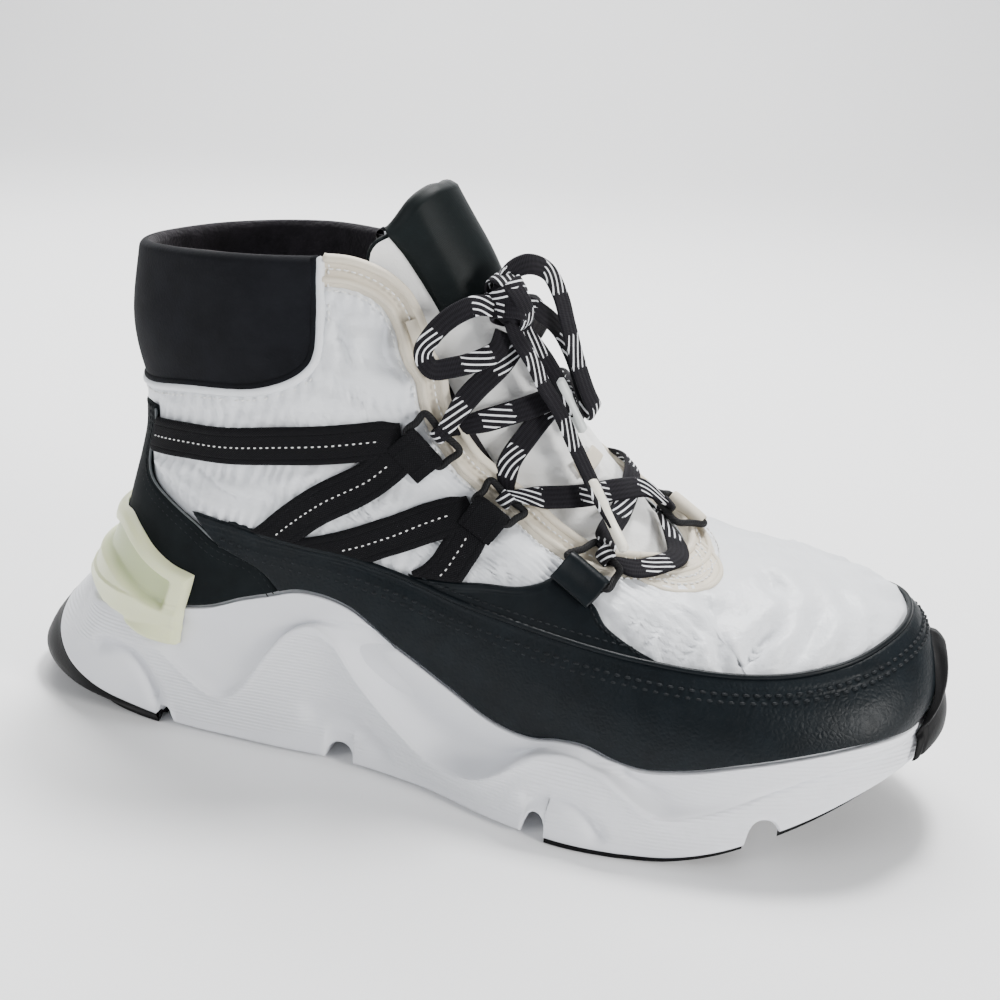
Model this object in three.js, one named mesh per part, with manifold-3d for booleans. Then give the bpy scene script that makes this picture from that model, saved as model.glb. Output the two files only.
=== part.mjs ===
// Sneaker boot, right foot, standing empty on its sole. Millimetres.
// +X runs from heel to toe, +Y towards the inner (medial) side, +Z up.
// Every form follows from two functions: last(s, t), the outer face of the
// upper, and outline(s), the plan of the sole. s runs once round the foot:
// 0 heel, 0 to 0.5 the outer (lateral) side, 0.5 toe, 0.5 to 1 the inner side.
// t runs from the feather line of the sole (0) to the rim of the collar (1).
import * as THREE from 'three';
import Module from 'manifold-3d';
const wasm = await Module();
wasm.setup();

// ---------------------------------------------------------------- sizes
const SOLE_BACK = -8;          // rearmost point of the sole
const SOLE_LENGTH = 300;       // overall sole length
const WALL_LOW = 2.2;          // upper wall at the feather line
const WALL_HIGH = 3.0;         // upper wall at the padded collar
const GAP = 0.35;              // clearance between pieces that touch
const OVERLAY = 1.2;           // leather overlays stand this proud
const INSOLE = 4.0;            // insole thickness
const OUTSOLE = 3.2;           // rubber under the midsole
const BUMPER = 2.9;            // rubber behind the heel
const RIM = 1.7;               // midsole rim thickness
const CLIP = 2.8;              // heel clip thickness
const WEBBING = [11.5, 1.4];   // strap width and thickness
const LACE = [7.0, 1.3];       // flat lace width and thickness
const LOOP_CORD = 2.2;         // lace loop cord diameter
const TONGUE = 6.0;            // padded tongue thickness
const ORIGIN = [143.5, -3.2, 0]; // centre of the boot's box, at the ground

// Rings of the upper: ends, side line, heights along the foot (heel, arch,
// ball, toe), half widths at heel, middle and ball on each side, end caps.
const RING_COLUMNS = 't xBack xFront yFront zHeel zArch zBall zToe heelLat midLat ballLat heelMed midMed ballMed capBack capFront nBack nFront'.split(' ');
const RINGS = [
  [0.00, 20,   278, 6,  32,  27,  16,  36, 32, 37, 49, 30, 29, 42, .16, .26, 2.2, 2.4],
  [0.10, 20.5, 285, 6,  40,  36,  26,  42, 36, 40, 53, 33, 32, 46, .16, .26, 2.2, 2.45],
  [0.22, 24,   286, 8,  52,  49,  40,  50, 36, 41, 53, 35, 34, 45, .17, .27, 2.2, 2.4],
  [0.34, 27.5, 277, 11, 62,  62,  53,  62, 35, 40, 49, 34, 35, 40, .18, .29, 2.1, 2.3],
  [0.46, 30,   252, 14, 72,  74,  66,  69, 33, 38, 43, 33, 36, 32, .20, .34, 2.1, 2.2],
  [0.57, 33,   217, 14, 83,  85,  79,  74, 31, 37, 37, 31, 34, 24, .24, .42, 2.1, 2.1],
  [0.68, 35,   191, 11, 94,  96,  92,  89, 31, 35, 32, 31, 33, 22, .28, .50, 2.1, 2.0],
  [0.78, 34.5, 171, 7, 106, 110, 111, 112, 32, 34, 30, 32, 33, 24, .33, .55, 2.1, 2.0],
  [0.89, 30,   154, 3, 128, 132, 136, 138, 33, 35, 29, 33, 35, 27, .38, .58, 2.1, 2.0],
  [1.00, 33.5, 141, 1, 153, 156, 157, 158, 34, 36, 29, 34, 36, 28, .42, .60, 2.1, 2.0],
];
// Plan of the sole: reach to each side at x, before the round ends.
const PLAN = { columns: ['x', 'lateral', 'medial'], rows: [
  [-8, 37, 33], [20, 38, 34], [60, 38.5, 34], [90, 38.5, 32], [115, 38, 30], [140, 43, 33],
  [165, 52, 39], [190, 57.5, 45], [215, 57, 47], [240, 55, 46], [265, 51, 44], [292, 46, 40]] };
// Height of the tread: flat under heel and ball, toe spring ahead of the ball.
const TREAD = { columns: ['x', 'z'], rows: [
  [-8, 0], [205, 0], [218, 0.9], [232, 4.2], [245, 9.2], [257, 14.2], [269, 20], [281, 26], [287, 29.5], [292, 33]] };
// How far the ground edge of the tread lies inside the outline.
const TREAD_INSET = { columns: ['s', 'inset'], rows: [
  [0, 10], [.03, 12], [.06, 13], [.09, 11.5], [.12, 6.5], [.14, 3], [.157, 1.5], [.4, 1.5], [.5, 3]] };
// Wave on the sole's side: height of the crest, how far it stands out from the
// outline, and how deep the wall steps in above it.
const CREST = { columns: ['x', 'z', 'out', 'step'], rows: [
  [-8, 36, -19, .4], [10, 36, -15, .6], [22, 36.5, -7, .9], [31, 38, -3, 1.2], [44, 34.5, 0, 1.8], [55, 28, .5, 2.4],
  [63, 21.5, .5, 3], [74.5, 17, .5, 3.8], [82, 23, 1.5, 4.8], [90, 35, 3, 5], [97, 44, 4.5, 4.4], [104, 48, 5.5, 3.2],
  [111, 46.5, 5.5, 3], [121, 34, 4.5, 4], [133, 21, 2, 4.6], [144, 12.8, .5, 4.2], [152, 11.3, 0, 3.8], [160, 12.8, 0, 3.5],
  [168, 18, 0, 3.4], [175, 24.5, -.5, 3], [183, 27, -2, 1.6], [191, 27, -2.5, 1.2], [199, 25, -1.5, 2.2], [204.5, 22, -.6, 2.8],
  [210, 18.5, 0, 3], [216, 16, 0, 2.4], [226, 17.5, -.5, 1.2], [242, 24, -1, .5], [258, 30, -1.5, .2], [292, 37.5, -2, 0]] };
// Rim of the midsole where it meets the upper.
const RIM_LINE = { columns: ['x', 'z'], rows: [
  [10, 44], [50, 44], [63, 44], [70, 45.5], [81, 50], [91, 53.5], [98, 56], [106, 56.5], [116, 54.5], [132, 44.5],
  [149, 35], [165, 28], [175, 27], [184, 29], [192, 29.5], [200, 27.5], [208, 26.5], [219, 28], [236, 32.5], [253, 36.5], [270, 39.5], [292, 41]] };
// Flex notches across the sole: from, to, height of the roof.
const NOTCHES = { columns: ['from', 'to', 'roof'], rows: [[50.5, 56.5, 7.2], [109, 118.5, 6.6], [176.5, 183.5, 8.2], [240, 249, 16.5]] };
// Top of the rubber behind the heel.
const BUMPER_TOP = { columns: ['s', 'z'], rows: [[0, 25], [.03, 24], [.07, 17.5], [.1, 12], [.12, 8], [.135, 5.4], [.148, OUTSOLE]] };

// Edges of the panels, in (s, t) on the lateral side, mirrored on the medial
// side unless a column says otherwise.
const THROAT = { columns: ['t', 'lateral', 'medial'], rows: [
  [0, .360, .430], [.556, .362, .435], [.60, .360, .475], [.64, .358, .512], [.68, .356, .545], [.735, .344, .590], [.80, .342, .625],
  [.838, .349, .637], [.868, .348, .646], [.90, .352, .648], [1, .352, .648]] };
const THROAT_BOTTOM = 0.556;
const COLLAR_DROP = { columns: ['s', 'drop'], rows: [[0, 0], [.285, 0], [.312, .004], [.338, .018], [.352, .042], [.5, .042]] };
const RAND_TOP = { columns: ['s', 't'], rows: [
  [.127, .438], [.144, .39], [.158, .405], [.181, .405], [.208, .415], [.231, .400], [.246, .383], [.272, .375],
  [.298, .370], [.323, .363], [.349, .352], [.377, .343], [.412, .340], [.45, .343], [.5, .340]] };
const COUNTER_EDGE = { columns: ['t', 's'], rows: [
  [.0, .184], [.235, .170], [.265, .167], [.328, .158], [.383, .141], [.450, .125], [.495, .108], [.542, .085], [.748, .089]] };
const WING_TOP = { columns: ['s', 't'], rows: [[.229, .406], [.252, .430], [.269, .453], [.287, .470], [.303, .492], [.318, .515], [.324, .522]] };
const WING_FRONT = { columns: ['v', 's'], rows: [[0, .330], [.14, .323], [.35, .318], [.65, .322], [1, .324]] };
// Webbing straps as (s, t) along their middles; each pair meets at a lace loop.
const STRAPS = {
  rear: [[[.090, .662], [.161, .682], [.214, .713], [.258, .735], [.296, .752]],
         [[.186, .476], [.213, .562], [.264, .680], [.296, .742]]],
  front: [[[.217, .472], [.234, .506], [.273, .578], [.311, .636]],
          [[.2645, .494], [.287, .556], [.311, .628]]],
};
// Lace loops of thin cord, (s, t): the side that carries the lace, then the
// side under the strap, each from its upper to its lower end.
const LOOPS = {
  lateral_1: [[.322, .790], [.331, .740], [.302, .764], [.309, .712]],
  lateral_2: [[.338, .697], [.340, .634], [.315, .652], [.319, .598]],
  lateral_3: [[.366, .580], [.356, .528], [.336, .548], [.335, .492]],
  medial_1: [[.678, .790], [.669, .740], [.698, .764], [.691, .712]],
  medial_2: [[.662, .697], [.660, .634], [.685, .652], [.681, .598]],
  medial_3: [[.478, .662], [.459, .612], [.512, .642], [.491, .590]],
};
// Heel clip: its lower and upper edge (height) from the heel's centre to its end.
const CLIP_END = .133;
const CLIP_EDGE = { columns: ['s', 'low', 'high'], rows: [
  [0, 40, 65.5], [.045, 39.5, 66], [.066, 38, 67], [.083, 36, 64.5], [.10, 34, 60.5], [.117, 32, 57], [.128, 31.5, 55.5], [.133, 32.5, 54.5]] };
const TONGUE_TOP = { columns: ['s', 'rise'], rows: [[.318, -6], [.33, 0], [.36, 6], [.40, 14.5], [.44, 19], [.5, 20.5]] };
// Flat lace: where it passes through each loop it lies over and under the
// loop's cord, and between the loops it runs through these (s, t, height).
const STRANDS = {
  A: { from: ['lateral_1', 1], to: null, via: [[.362, .812, 4.6], [.412, .852, 4.4], [.447, .886, 5.2]] },
  A2: { from: ['medial_1', 1], to: null, via: [[.630, .815, 4.6], [.575, .860, 4.4], [.520, .892, 5.2]] },
  B: { from: ['lateral_1', -1], to: ['medial_2', 1], via: [[.368, .782, 2.9], [.419, .796, 3.6], [.475, .802, 3.7], [.540, .785, 3.6], [.605, .733, 4.2]] },
  C: { from: ['lateral_2', -1], to: ['medial_1', -1], via: [[.360, .722, 2.1], [.392, .760, 2.3], [.430, .788, 2.5], [.490, .804, 2.6], [.550, .804, 2.5], [.610, .788, 2.3]] },
  D: { from: ['lateral_2', 1], to: ['medial_3', 1], via: [[.368, .671, 4.4], [.401, .676, 3.6], [.440, .680, 3.6], [.472, .670, 4.0]] },
  E: { from: ['lateral_3', 1], to: ['medial_2', -1], via: [[.376, .590, 4.4], [.420, .648, 2.9], [.470, .686, 2.5], [.530, .699, 2.5], [.595, .690, 2.3]] },
  F: { from: ['lateral_3', -1], to: ['medial_3', -1], via: [[.371, .536, 2.6], [.394, .545, 2.9], [.412, .556, 2.7], [.430, .578, 2.2]] },
};

// ---------------------------------------------------------------- maths
const add = (a, b, k = 1) => [a[0] + b[0] * k, a[1] + b[1] * k, a[2] + b[2] * k];
const sub = (a, b) => [a[0] - b[0], a[1] - b[1], a[2] - b[2]];
const mix = (a, b, k) => [a[0] + (b[0] - a[0]) * k, a[1] + (b[1] - a[1]) * k, a[2] + (b[2] - a[2]) * k];
const cross = (a, b) => [a[1] * b[2] - a[2] * b[1], a[2] * b[0] - a[0] * b[2], a[0] * b[1] - a[1] * b[0]];
const unit = (a) => { const l = Math.hypot(...a) || 1; return [a[0] / l, a[1] / l, a[2] / l]; };
const clamp = (x, a, b) => Math.min(b, Math.max(a, x));
const smooth = (x) => { x = clamp(x, 0, 1); return x * x * (3 - 2 * x); };
const wrap = (s) => ((s % 1) + 1) % 1;
const fold = (s) => { s = wrap(s); return s <= .5 ? s : 1 - s; };

// smooth curve through a table's rows, clamped past its ends
function curve(rows, column, x) {
  const n = rows.length;
  x = clamp(x, rows[0][0], rows[n - 1][0]);
  let k = 0;
  while (k < n - 2 && x >= rows[k + 1][0]) k++;
  const slope = (i) => (rows[i + 1][column] - rows[i][column]) / (rows[i + 1][0] - rows[i][0]);
  const m = (i) => {
    if (i === 0) return slope(0);
    if (i === n - 1) return slope(n - 2);
    const h0 = rows[i][0] - rows[i - 1][0], h1 = rows[i + 1][0] - rows[i][0];
    return (slope(i - 1) * h1 + slope(i) * h0) / (h0 + h1);
  };
  const h = rows[k + 1][0] - rows[k][0], u = (x - rows[k][0]) / h;
  return (2 * u ** 3 - 3 * u ** 2 + 1) * rows[k][column] + (u ** 3 - 2 * u ** 2 + u) * h * m(k)
    + (-2 * u ** 3 + 3 * u ** 2) * rows[k + 1][column] + (u ** 3 - u ** 2) * h * m(k + 1);
}
const read = (table, x, name = table.columns[1]) => curve(table.rows, table.columns.indexOf(name), x);
const capped = (u, n) => clamp(1 - (1 - clamp(u, 0, 1)) ** n, 0, 1) ** (1 / n);

// ---------------------------------------------------------------- forms
const ringCache = new Map();
function ring(t) {
  const key = Math.round(t * 1e6);
  if (!ringCache.has(key)) {
    const r = {};
    RING_COLUMNS.forEach((name, i) => { r[name] = curve(RINGS, i, t); });
    ringCache.set(key, r);
  }
  return ringCache.get(key);
}
// outer face of the upper
function last(s, t) {
  s = wrap(s);
  const r = ring(t), lateral = s <= .5;
  const q = (1 - Math.cos(Math.PI * (lateral ? s * 2 : (1 - s) * 2))) / 2;
  const [h, a, b] = lateral ? [r.heelLat, r.midLat, r.ballLat] : [r.heelMed, r.midMed, r.ballMed];
  const base = q <= .42 ? h + (a - h) * smooth((q - .14) / .28) : a + (b - a) * smooth((q - .42) / .30);
  const w = base * capped(q / r.capBack, r.nBack) * capped((1 - q) / r.capFront, r.nFront);
  const at = [0, .38, .72, 1], zs = [r.zHeel, r.zArch, r.zBall, r.zToe];
  let z = 0;
  for (let i = 0; i < 4; i++) {
    let l = 1;
    for (let j = 0; j < 4; j++) if (j !== i) l *= (q - at[j]) / (at[i] - at[j]);
    z += l * zs[i];
  }
  return [r.xBack + (r.xFront - r.xBack) * q, r.yFront * q * q + (lateral ? -w : w), z];
}
function lastNormal(s, t) {
  const e = .006, d = .012, t0 = clamp(t - d, 0, 1), t1 = clamp(t + d, 0, 1);
  return unit(cross(sub(last(s + e, t), last(s - e, t)), sub(last(s, t1), last(s, t0))));
}
const skin = (s, t, h = 0) => add(last(s, t), lastNormal(s, t), h);
// as skin, but running on above the collar for the tongue
function skinUp(s, t, h) {
  if (t <= 1) return skin(s, t, h);
  const up = unit(sub(last(s, 1), last(s, .93)));
  return add(skin(s, 1, h), up, (t - 1) * 150);
}
const wallAt = (t) => WALL_LOW + (WALL_HIGH - WALL_LOW) * smooth((t - .5) / .4);

// plan of the sole
function outline(s) {
  s = wrap(s);
  const lateral = s <= .5;
  const q = (1 - Math.cos(Math.PI * (lateral ? s * 2 : (1 - s) * 2))) / 2;
  const x = SOLE_BACK + SOLE_LENGTH * q;
  const w = read(PLAN, x, lateral ? 'lateral' : 'medial') * capped(q / .15, 2.0) * capped((1 - q) / .27, 2.25);
  return [x, 4 * Math.max(0, (q - .6) / .4) ** 2 + (lateral ? -w : w), 0];
}
function outlineNormal(s) {
  const d = sub(outline(s + .004), outline(s - .004));
  return unit([d[1], -d[0], 0]);
}
const tread = (x) => Math.max(0, read(TREAD, x));
// height of the footbed at x
function floorAt(x) {
  const r = ring(0), q = clamp((x - r.xBack) / (r.xFront - r.xBack), 0, 1);
  return last(Math.acos(1 - 2 * q) / (2 * Math.PI), 0)[2];
}
// point on the sole's side at height z, moved in by inset
function side(s, z, inset = 0) {
  const o = outline(s), x = o[0], zb = tread(x), zc = read(CREST, x, 'z'), out = read(CREST, x, 'out');
  const f = clamp((z - zb) / Math.max(2, zc - zb), 0, 1);
  const g = read(TREAD_INSET, fold(s));
  const rise = .2 + .14 * (1 - smooth((fold(s) - .05) / .09));
  const low = -g * (1 - smooth(f / rise)) ** 1.5;
  const p = add(o, outlineNormal(s), low + out * curve([[0, 0], [.25, .03], [.5, .24], [.75, .6], [1, 1]], 1, f) - (f > .93 ? .7 * (f - .93) / .07 : 0) - inset);
  p[2] = z;
  return p;
}
// the same, at a height above the tread
function sideOn(s, up, inset = 0) {
  let p = side(s, tread(outline(s)[0]) + up, inset);
  for (let k = 0; k < 4; k++) p = side(s, tread(p[0]) + up, inset);
  return p;
}
// t of the midsole's rim on the upper
const rimCache = new Map();
function rimT(s) {
  s = fold(s);
  const key = Math.round(s * 1e6);
  if (!rimCache.has(key)) {
    let lo = 0, hi = .5;
    for (let k = 0; k < 40; k++) {
      const m = (lo + hi) / 2, p = last(s, m);
      if (p[2] < read(RIM_LINE, p[0])) lo = m; else hi = m;
    }
    rimCache.set(key, (lo + hi) / 2);
  }
  return rimCache.get(key);
}

// ---------------------------------------------------------------- mesh code
class Solid {
  constructor() { this.points = []; this.faces = []; }
  point(p) { this.points.push(p); return this.points.length - 1; }
  tri(a, b, c) { this.faces.push([a, b, c]); }
  quad(a, b, c, d) {
    const P = this.points, len = (i, j) => Math.hypot(...sub(P[i], P[j]));
    if (len(a, c) <= len(b, d)) { this.tri(a, b, c); this.tri(a, c, d); } else { this.tri(a, b, d); this.tri(b, c, d); }
  }
}
// rows of points round the foot, joined upwards, closed by straight fills
function stack(rows) {
  const m = new Solid(), n = rows[0].length;
  const id = rows.map((r) => r.map((p) => m.point(p)));
  for (let j = 0; j + 1 < rows.length; j++)
    for (let i = 0; i < n; i++) { const k = (i + 1) % n; m.quad(id[j][i], id[j][k], id[j + 1][k], id[j + 1][i]); }
  const fill = (r, up) => {
    for (let i = 0; i < n / 2; i++) {
      const a = r[i], b = r[i + 1], c = r[n - i - 1], d = r[(n - i) % n];
      if (i === 0) up ? m.tri(a, b, c) : m.tri(a, c, b);
      else if (i === n / 2 - 1) up ? m.tri(a, b, d) : m.tri(a, d, b);
      else if (up) m.quad(a, b, c, d); else m.quad(d, c, b, a);
    }
  };
  fill(id[0], false);
  fill(id[rows.length - 1], true);
  return m;
}
// a shell over a grid: outer and inner faces with walls round every edge
function shell(nu, nv, outer, inner, { ringed = false, keep = () => true } = {}) {
  const m = new Solid(), cols = ringed ? nu : nu + 1;
  const A = [], B = [];
  for (let i = 0; i < cols; i++) { A.push([]); B.push([]); for (let j = 0; j <= nv; j++) { A[i].push(-1); B[i].push(-1); } }
  const a = (i, j) => { i %= cols; if (A[i][j] < 0) A[i][j] = m.point(outer(i, j)); return A[i][j]; };
  const b = (i, j) => { i %= cols; if (B[i][j] < 0) B[i][j] = m.point(inner(i, j)); return B[i][j]; };
  const has = (i, j) => { if (j < 0 || j >= nv) return false; if (ringed) i = (i + nu) % nu; else if (i < 0 || i >= nu) return false; return keep(i, j); };
  const wall = (i0, j0, i1, j1) => m.quad(a(i1, j1), a(i0, j0), b(i0, j0), b(i1, j1));
  for (let i = 0; i < nu; i++) for (let j = 0; j < nv; j++) {
    if (!has(i, j)) continue;
    m.quad(a(i, j), a(i + 1, j), a(i + 1, j + 1), a(i, j + 1));
    m.quad(b(i, j + 1), b(i + 1, j + 1), b(i + 1, j), b(i, j));
    if (!has(i, j - 1)) wall(i, j, i + 1, j);
    if (!has(i + 1, j)) wall(i + 1, j, i + 1, j + 1);
    if (!has(i, j + 1)) wall(i + 1, j + 1, i, j + 1);
    if (!has(i - 1, j)) wall(i, j + 1, i, j);
  }
  return m;
}
// a section swept along points; each frame gives the section's corners
function sweep(sections, closed = false) {
  const m = new Solid(), n = sections[0].length, c = sections.length;
  const id = sections.map((r) => r.map((p) => m.point(p)));
  for (let j = 0; j < (closed ? c : c - 1); j++)
    for (let i = 0; i < n; i++) { const k = (i + 1) % n, l = (j + 1) % c; m.quad(id[j][i], id[j][k], id[l][k], id[l][i]); }
  if (!closed) for (let i = 1; i + 1 < n; i++) { m.tri(id[0][0], id[0][i + 1], id[0][i]); m.tri(id[c - 1][0], id[c - 1][i], id[c - 1][i + 1]); }
  return m;
}
const toManifold = (m) => new wasm.Manifold(new wasm.Mesh({ numProp: 3, vertProperties: new Float32Array(m.points.flat()), triVerts: new Uint32Array(m.faces.flat()) }));
function fromManifold(body) {
  const g = body.getMesh(), m = new Solid();
  for (let i = 0; i < g.vertProperties.length; i += g.numProp) m.point([g.vertProperties[i], g.vertProperties[i + 1], g.vertProperties[i + 2]]);
  for (let i = 0; i < g.triVerts.length; i += 3) m.tri(g.triVerts[i], g.triVerts[i + 1], g.triVerts[i + 2]);
  return m;
}
function boxSolid(x0, x1, y0, y1, z0, z1, turn = 0, tilt = 0) {
  const g = new THREE.BoxGeometry(x1 - x0, y1 - y0, z1 - z0);
  g.rotateY(tilt); g.rotateZ(turn); g.translate((x0 + x1) / 2, (y0 + y1) / 2, (z0 + z1) / 2);
  const m = new Solid(), key = new Map(), at = g.attributes.position, ids = [];
  for (let i = 0; i < at.count; i++) {
    const p = [at.getX(i), at.getY(i), at.getZ(i)], k = p.map((v) => Math.round(v * 1e3)).join();
    if (!key.has(k)) key.set(k, m.point(p));
    ids.push(key.get(k));
  }
  for (let i = 0; i < g.index.count; i += 3) m.tri(ids[g.index.getX(i)], ids[g.index.getX(i + 1)], ids[g.index.getX(i + 2)]);
  return toManifold(m);
}

const boot = new THREE.Group();
boot.name = 'sneaker_boot';
boot.position.set(-ORIGIN[0], -ORIGIN[1], -ORIGIN[2]);
function piece(name, m, colour, roughness) {
  const g = new THREE.BufferGeometry();
  g.setAttribute('position', new THREE.Float32BufferAttribute(m.points.flat(), 3));
  g.setIndex(m.faces.flat());
  g.computeVertexNormals();
  const mesh = new THREE.Mesh(g, new THREE.MeshStandardMaterial({ color: colour, roughness, metalness: 0 }));
  mesh.name = name;
  boot.add(mesh);
}
const COLOUR = { nylon: 0xe9ebec, collar: 0x121314, leather: 0x15191c, nubuck: 0x191b1c, foam: 0xe6e7ea, rubber: 0x101112,
  clip: 0xdfe4b4, webbing: 0x121212, cord: 0x0e0e0e, lace: 0x17171a, tongue: 0xe9e9e8, insole: 0x232326, aglet: 0xe4e2da };

// ---------------------------------------------------------------- sole
// stations along the sole, closer at the notches and the wave
const STATIONS = [-8, -6.5, -2, 5, 14, 25, 36, 44, 50, 51, 56, 57, 66, 74.5, 83, 91, 98, 104, 108.5, 109.5, 118, 119, 126,
  135, 145, 155, 165, 171, 176, 177, 183, 184, 191, 199, 206, 214, 224, 233, 239.5, 240.5, 248.5, 249.5, 260, 271, 280, 286, 290, 292];
const stationS = STATIONS.map((x) => Math.acos(clamp(1 - 2 * (x - SOLE_BACK) / SOLE_LENGTH, -1, 1)) / (2 * Math.PI));
const SOLE_S = [...stationS, ...stationS.slice(1, -1).reverse().map((s) => 1 - s)];
const notchRoof = (x) => { for (const [a, b, roof] of NOTCHES.rows) if (x > a && x < b) return roof; return null; };
const bumperTop = (s) => Math.max(read(BUMPER_TOP, fold(s)), tread(outline(s)[0]) + OUTSOLE);
const hasOutsole = (x) => x < 50.5 || x > 183.6;

// the midsole's section at s: tread edge, side, crest, step, rim, inner wall
function midsoleSection(s) {
  const x = outline(s)[0], rim = skin(s, rimT(s), GAP + RIM), roof = notchRoof(x), n = outlineNormal(s);
  const behind = fold(s) < .148, inset = behind ? BUMPER + 1.1 : 1.4;
  const z0 = roof ?? (hasOutsole(x) ? sideOn(s, OUTSOLE + GAP, inset)[2] : 1.0);
  const z1 = behind ? Math.max(bumperTop(s) + GAP, z0 + .4) : z0 + .5, z2 = behind ? z1 + .15 : z0 + 1.3;
  const zc = Math.min(read(CREST, x, 'z'), rim[2] - 1.5), crest = side(s, zc, 0);
  const inmost = skin(s, rimT(s) * .8, GAP + RIM), reach = (q) => q[0] * n[0] + q[1] * n[1];
  const above = (f, deep) => {
    const p = add(mix(crest, rim, f), n, -read(CREST, x, 'step') * deep);
    return reach(p) < reach(inmost) ? add(p, n, reach(inmost) - reach(p)) : p;
  };
  const foot = skin(s, 0, GAP);
  foot[2] = last(s, 0)[2] - GAP;
  return [side(s, z0, inset), side(s, z1, behind ? inset : .5), side(s, z2, 0), side(s, z2 + (zc - z2) * .45, 0), side(s, z2 + (zc - z2) * .85, 0),
    crest, above(.22, .85), above(.6, .5), rim, skin(s, rimT(s), GAP), skin(s, rimT(s) * .5, GAP), foot];
}
// outer face of the midsole at height z
function midsoleFace(s, z) {
  const r = midsoleSection(s);
  for (let k = 2; k < 8; k++) if (z <= r[k + 1][2]) return mix(r[k], r[k + 1], clamp((z - r[k][2]) / Math.max(.01, r[k + 1][2] - r[k][2]), 0, 1));
  return r[8];
}
const sections = SOLE_S.map(midsoleSection);
piece('midsole', stack(sections[0].map((_, j) => sections.map((r) => r[j]))), COLOUR.foam, .7);
// the same form grown a little, which keeps the pieces outside it clear
const grown = toManifold(stack(sections[0].map((_, j) => sections.map((r, i) => {
  const p = add(r[j], outlineNormal(SOLE_S[i]), j < 9 ? GAP : 0);
  return j === 8 || j === 9 ? [p[0], p[1], p[2] + GAP] : p;
}))));

// rubber: one form for the whole tread, cut into the heel and the forefoot
const treadForm = toManifold(stack([
  SOLE_S.map((s) => sideOn(s, 0)),
  SOLE_S.map((s) => sideOn(s, (bumperTop(s) - tread(outline(s)[0])) * .35)),
  SOLE_S.map((s) => sideOn(s, (bumperTop(s) - tread(outline(s)[0])) * .7)),
  SOLE_S.map((s) => sideOn(s, bumperTop(s) - tread(outline(s)[0]))),
  SOLE_S.map((s) => sideOn(s, bumperTop(s) - tread(outline(s)[0]), BUMPER * (fold(s) < .148 ? 1 : .5))),
  SOLE_S.map((s) => sideOn(s, OUTSOLE, BUMPER + (fold(s) < .148 ? .02 : 0))),
]));
// lugs: grooves across and along
const groove = (x, wide, z, turn, tilt = 0) => boxSolid(x - wide / 2, x + wide / 2, -80, 80, z - 3, z + 1.7, turn, tilt);
let heelRubber = treadForm.intersect(boxSolid(-30, 50.4, -90, 90, -10, 40));
for (const x of [9, 20, 31, 42]) heelRubber = heelRubber.subtract(groove(x, 2.6, 0, .22));
piece('outsole_heel', fromManifold(heelRubber), COLOUR.rubber, .75);
let foreRubber = treadForm.intersect(boxSolid(183.7, 239.8, -90, 90, -10, 60));
for (const [x, z, tilt] of [[194, 0, 0], [205, 0, 0], [216, .8, -.15], [228, 3.2, -.3]])
  foreRubber = foreRubber.subtract(groove(x, 3, z, -.12, tilt));
let toeRubber = treadForm.intersect(boxSolid(249.2, 320, -90, 90, -10, 60));
for (const [x, z, tilt] of [[258, 14.7, -.42], [269, 20, -.45]])
  toeRubber = toeRubber.subtract(groove(x, 3, z, -.12, tilt));

// toe bumper, moulded up over the toe from the tread
const TOE_BUMPER = { columns: ['s', 'top'], rows: [[.452, 41], [.462, 47], [.475, 54], [.5, 57]] };
const heightT = (s, z) => { let lo = 0, hi = .6; for (let k = 0; k < 30; k++) { const m = (lo + hi) / 2; if (last(s, m)[2] < z) lo = m; else hi = m; } return (lo + hi) / 2; };
const toeS = (i) => .452 + .096 * i / 12;
const reachOn = (q, n) => q[0] * n[0] + q[1] * n[1];
// outermost of the midsole and the overlay on the upper, at height z
function coveredFace(s, z, overlay) {
  const n = outlineNormal(s), t = heightT(s, z), p = skin(s, t, overlay), m = midsoleFace(s, z), rimz = last(s, rimT(s))[2];
  p[2] = z;
  return z < rimz + 1.5 && reachOn(m, n) > reachOn(p, n) ? add(p, n, reachOn(m, n) - reachOn(p, n)) : p;
}
const toePoint = (i, j, h) => {
  const s = toeS(i), top = read(TOE_BUMPER, fold(s)), low = 33;
  return add(coveredFace(s, low + (top - low) * j / 6, GAP + OVERLAY + .1), outlineNormal(s), h);
};
const toeBumper = toManifold(shell(12, 6, (i, j) => toePoint(i, j, 2.9), (i, j) => toePoint(i, j, .9))).subtract(grown);
piece('outsole_fore', fromManifold(foreRubber), COLOUR.rubber, .75);
piece('outsole_toe', fromManifold(toeRubber.add(toeBumper)), COLOUR.rubber, .75);

// ---------------------------------------------------------------- insole
{
  const S = Array.from({ length: 48 }, (_, i) => i / 48);
  const edge = (s, inset, dz) => { const p = add(last(s, 0), outlineNormal(s), -(wallAt(0) + inset)); p[2] = floorAt(p[0]) + .1 + dz; return p; };
  piece('insole', stack([
    S.map((s) => edge(s, 2.2, 0)), S.map((s) => edge(s, 1.0, 1.2)), S.map((s) => edge(s, .8, INSOLE - .8)), S.map((s) => edge(s, 2.4, INSOLE)),
  ]), COLOUR.insole, .9);
}

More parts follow.
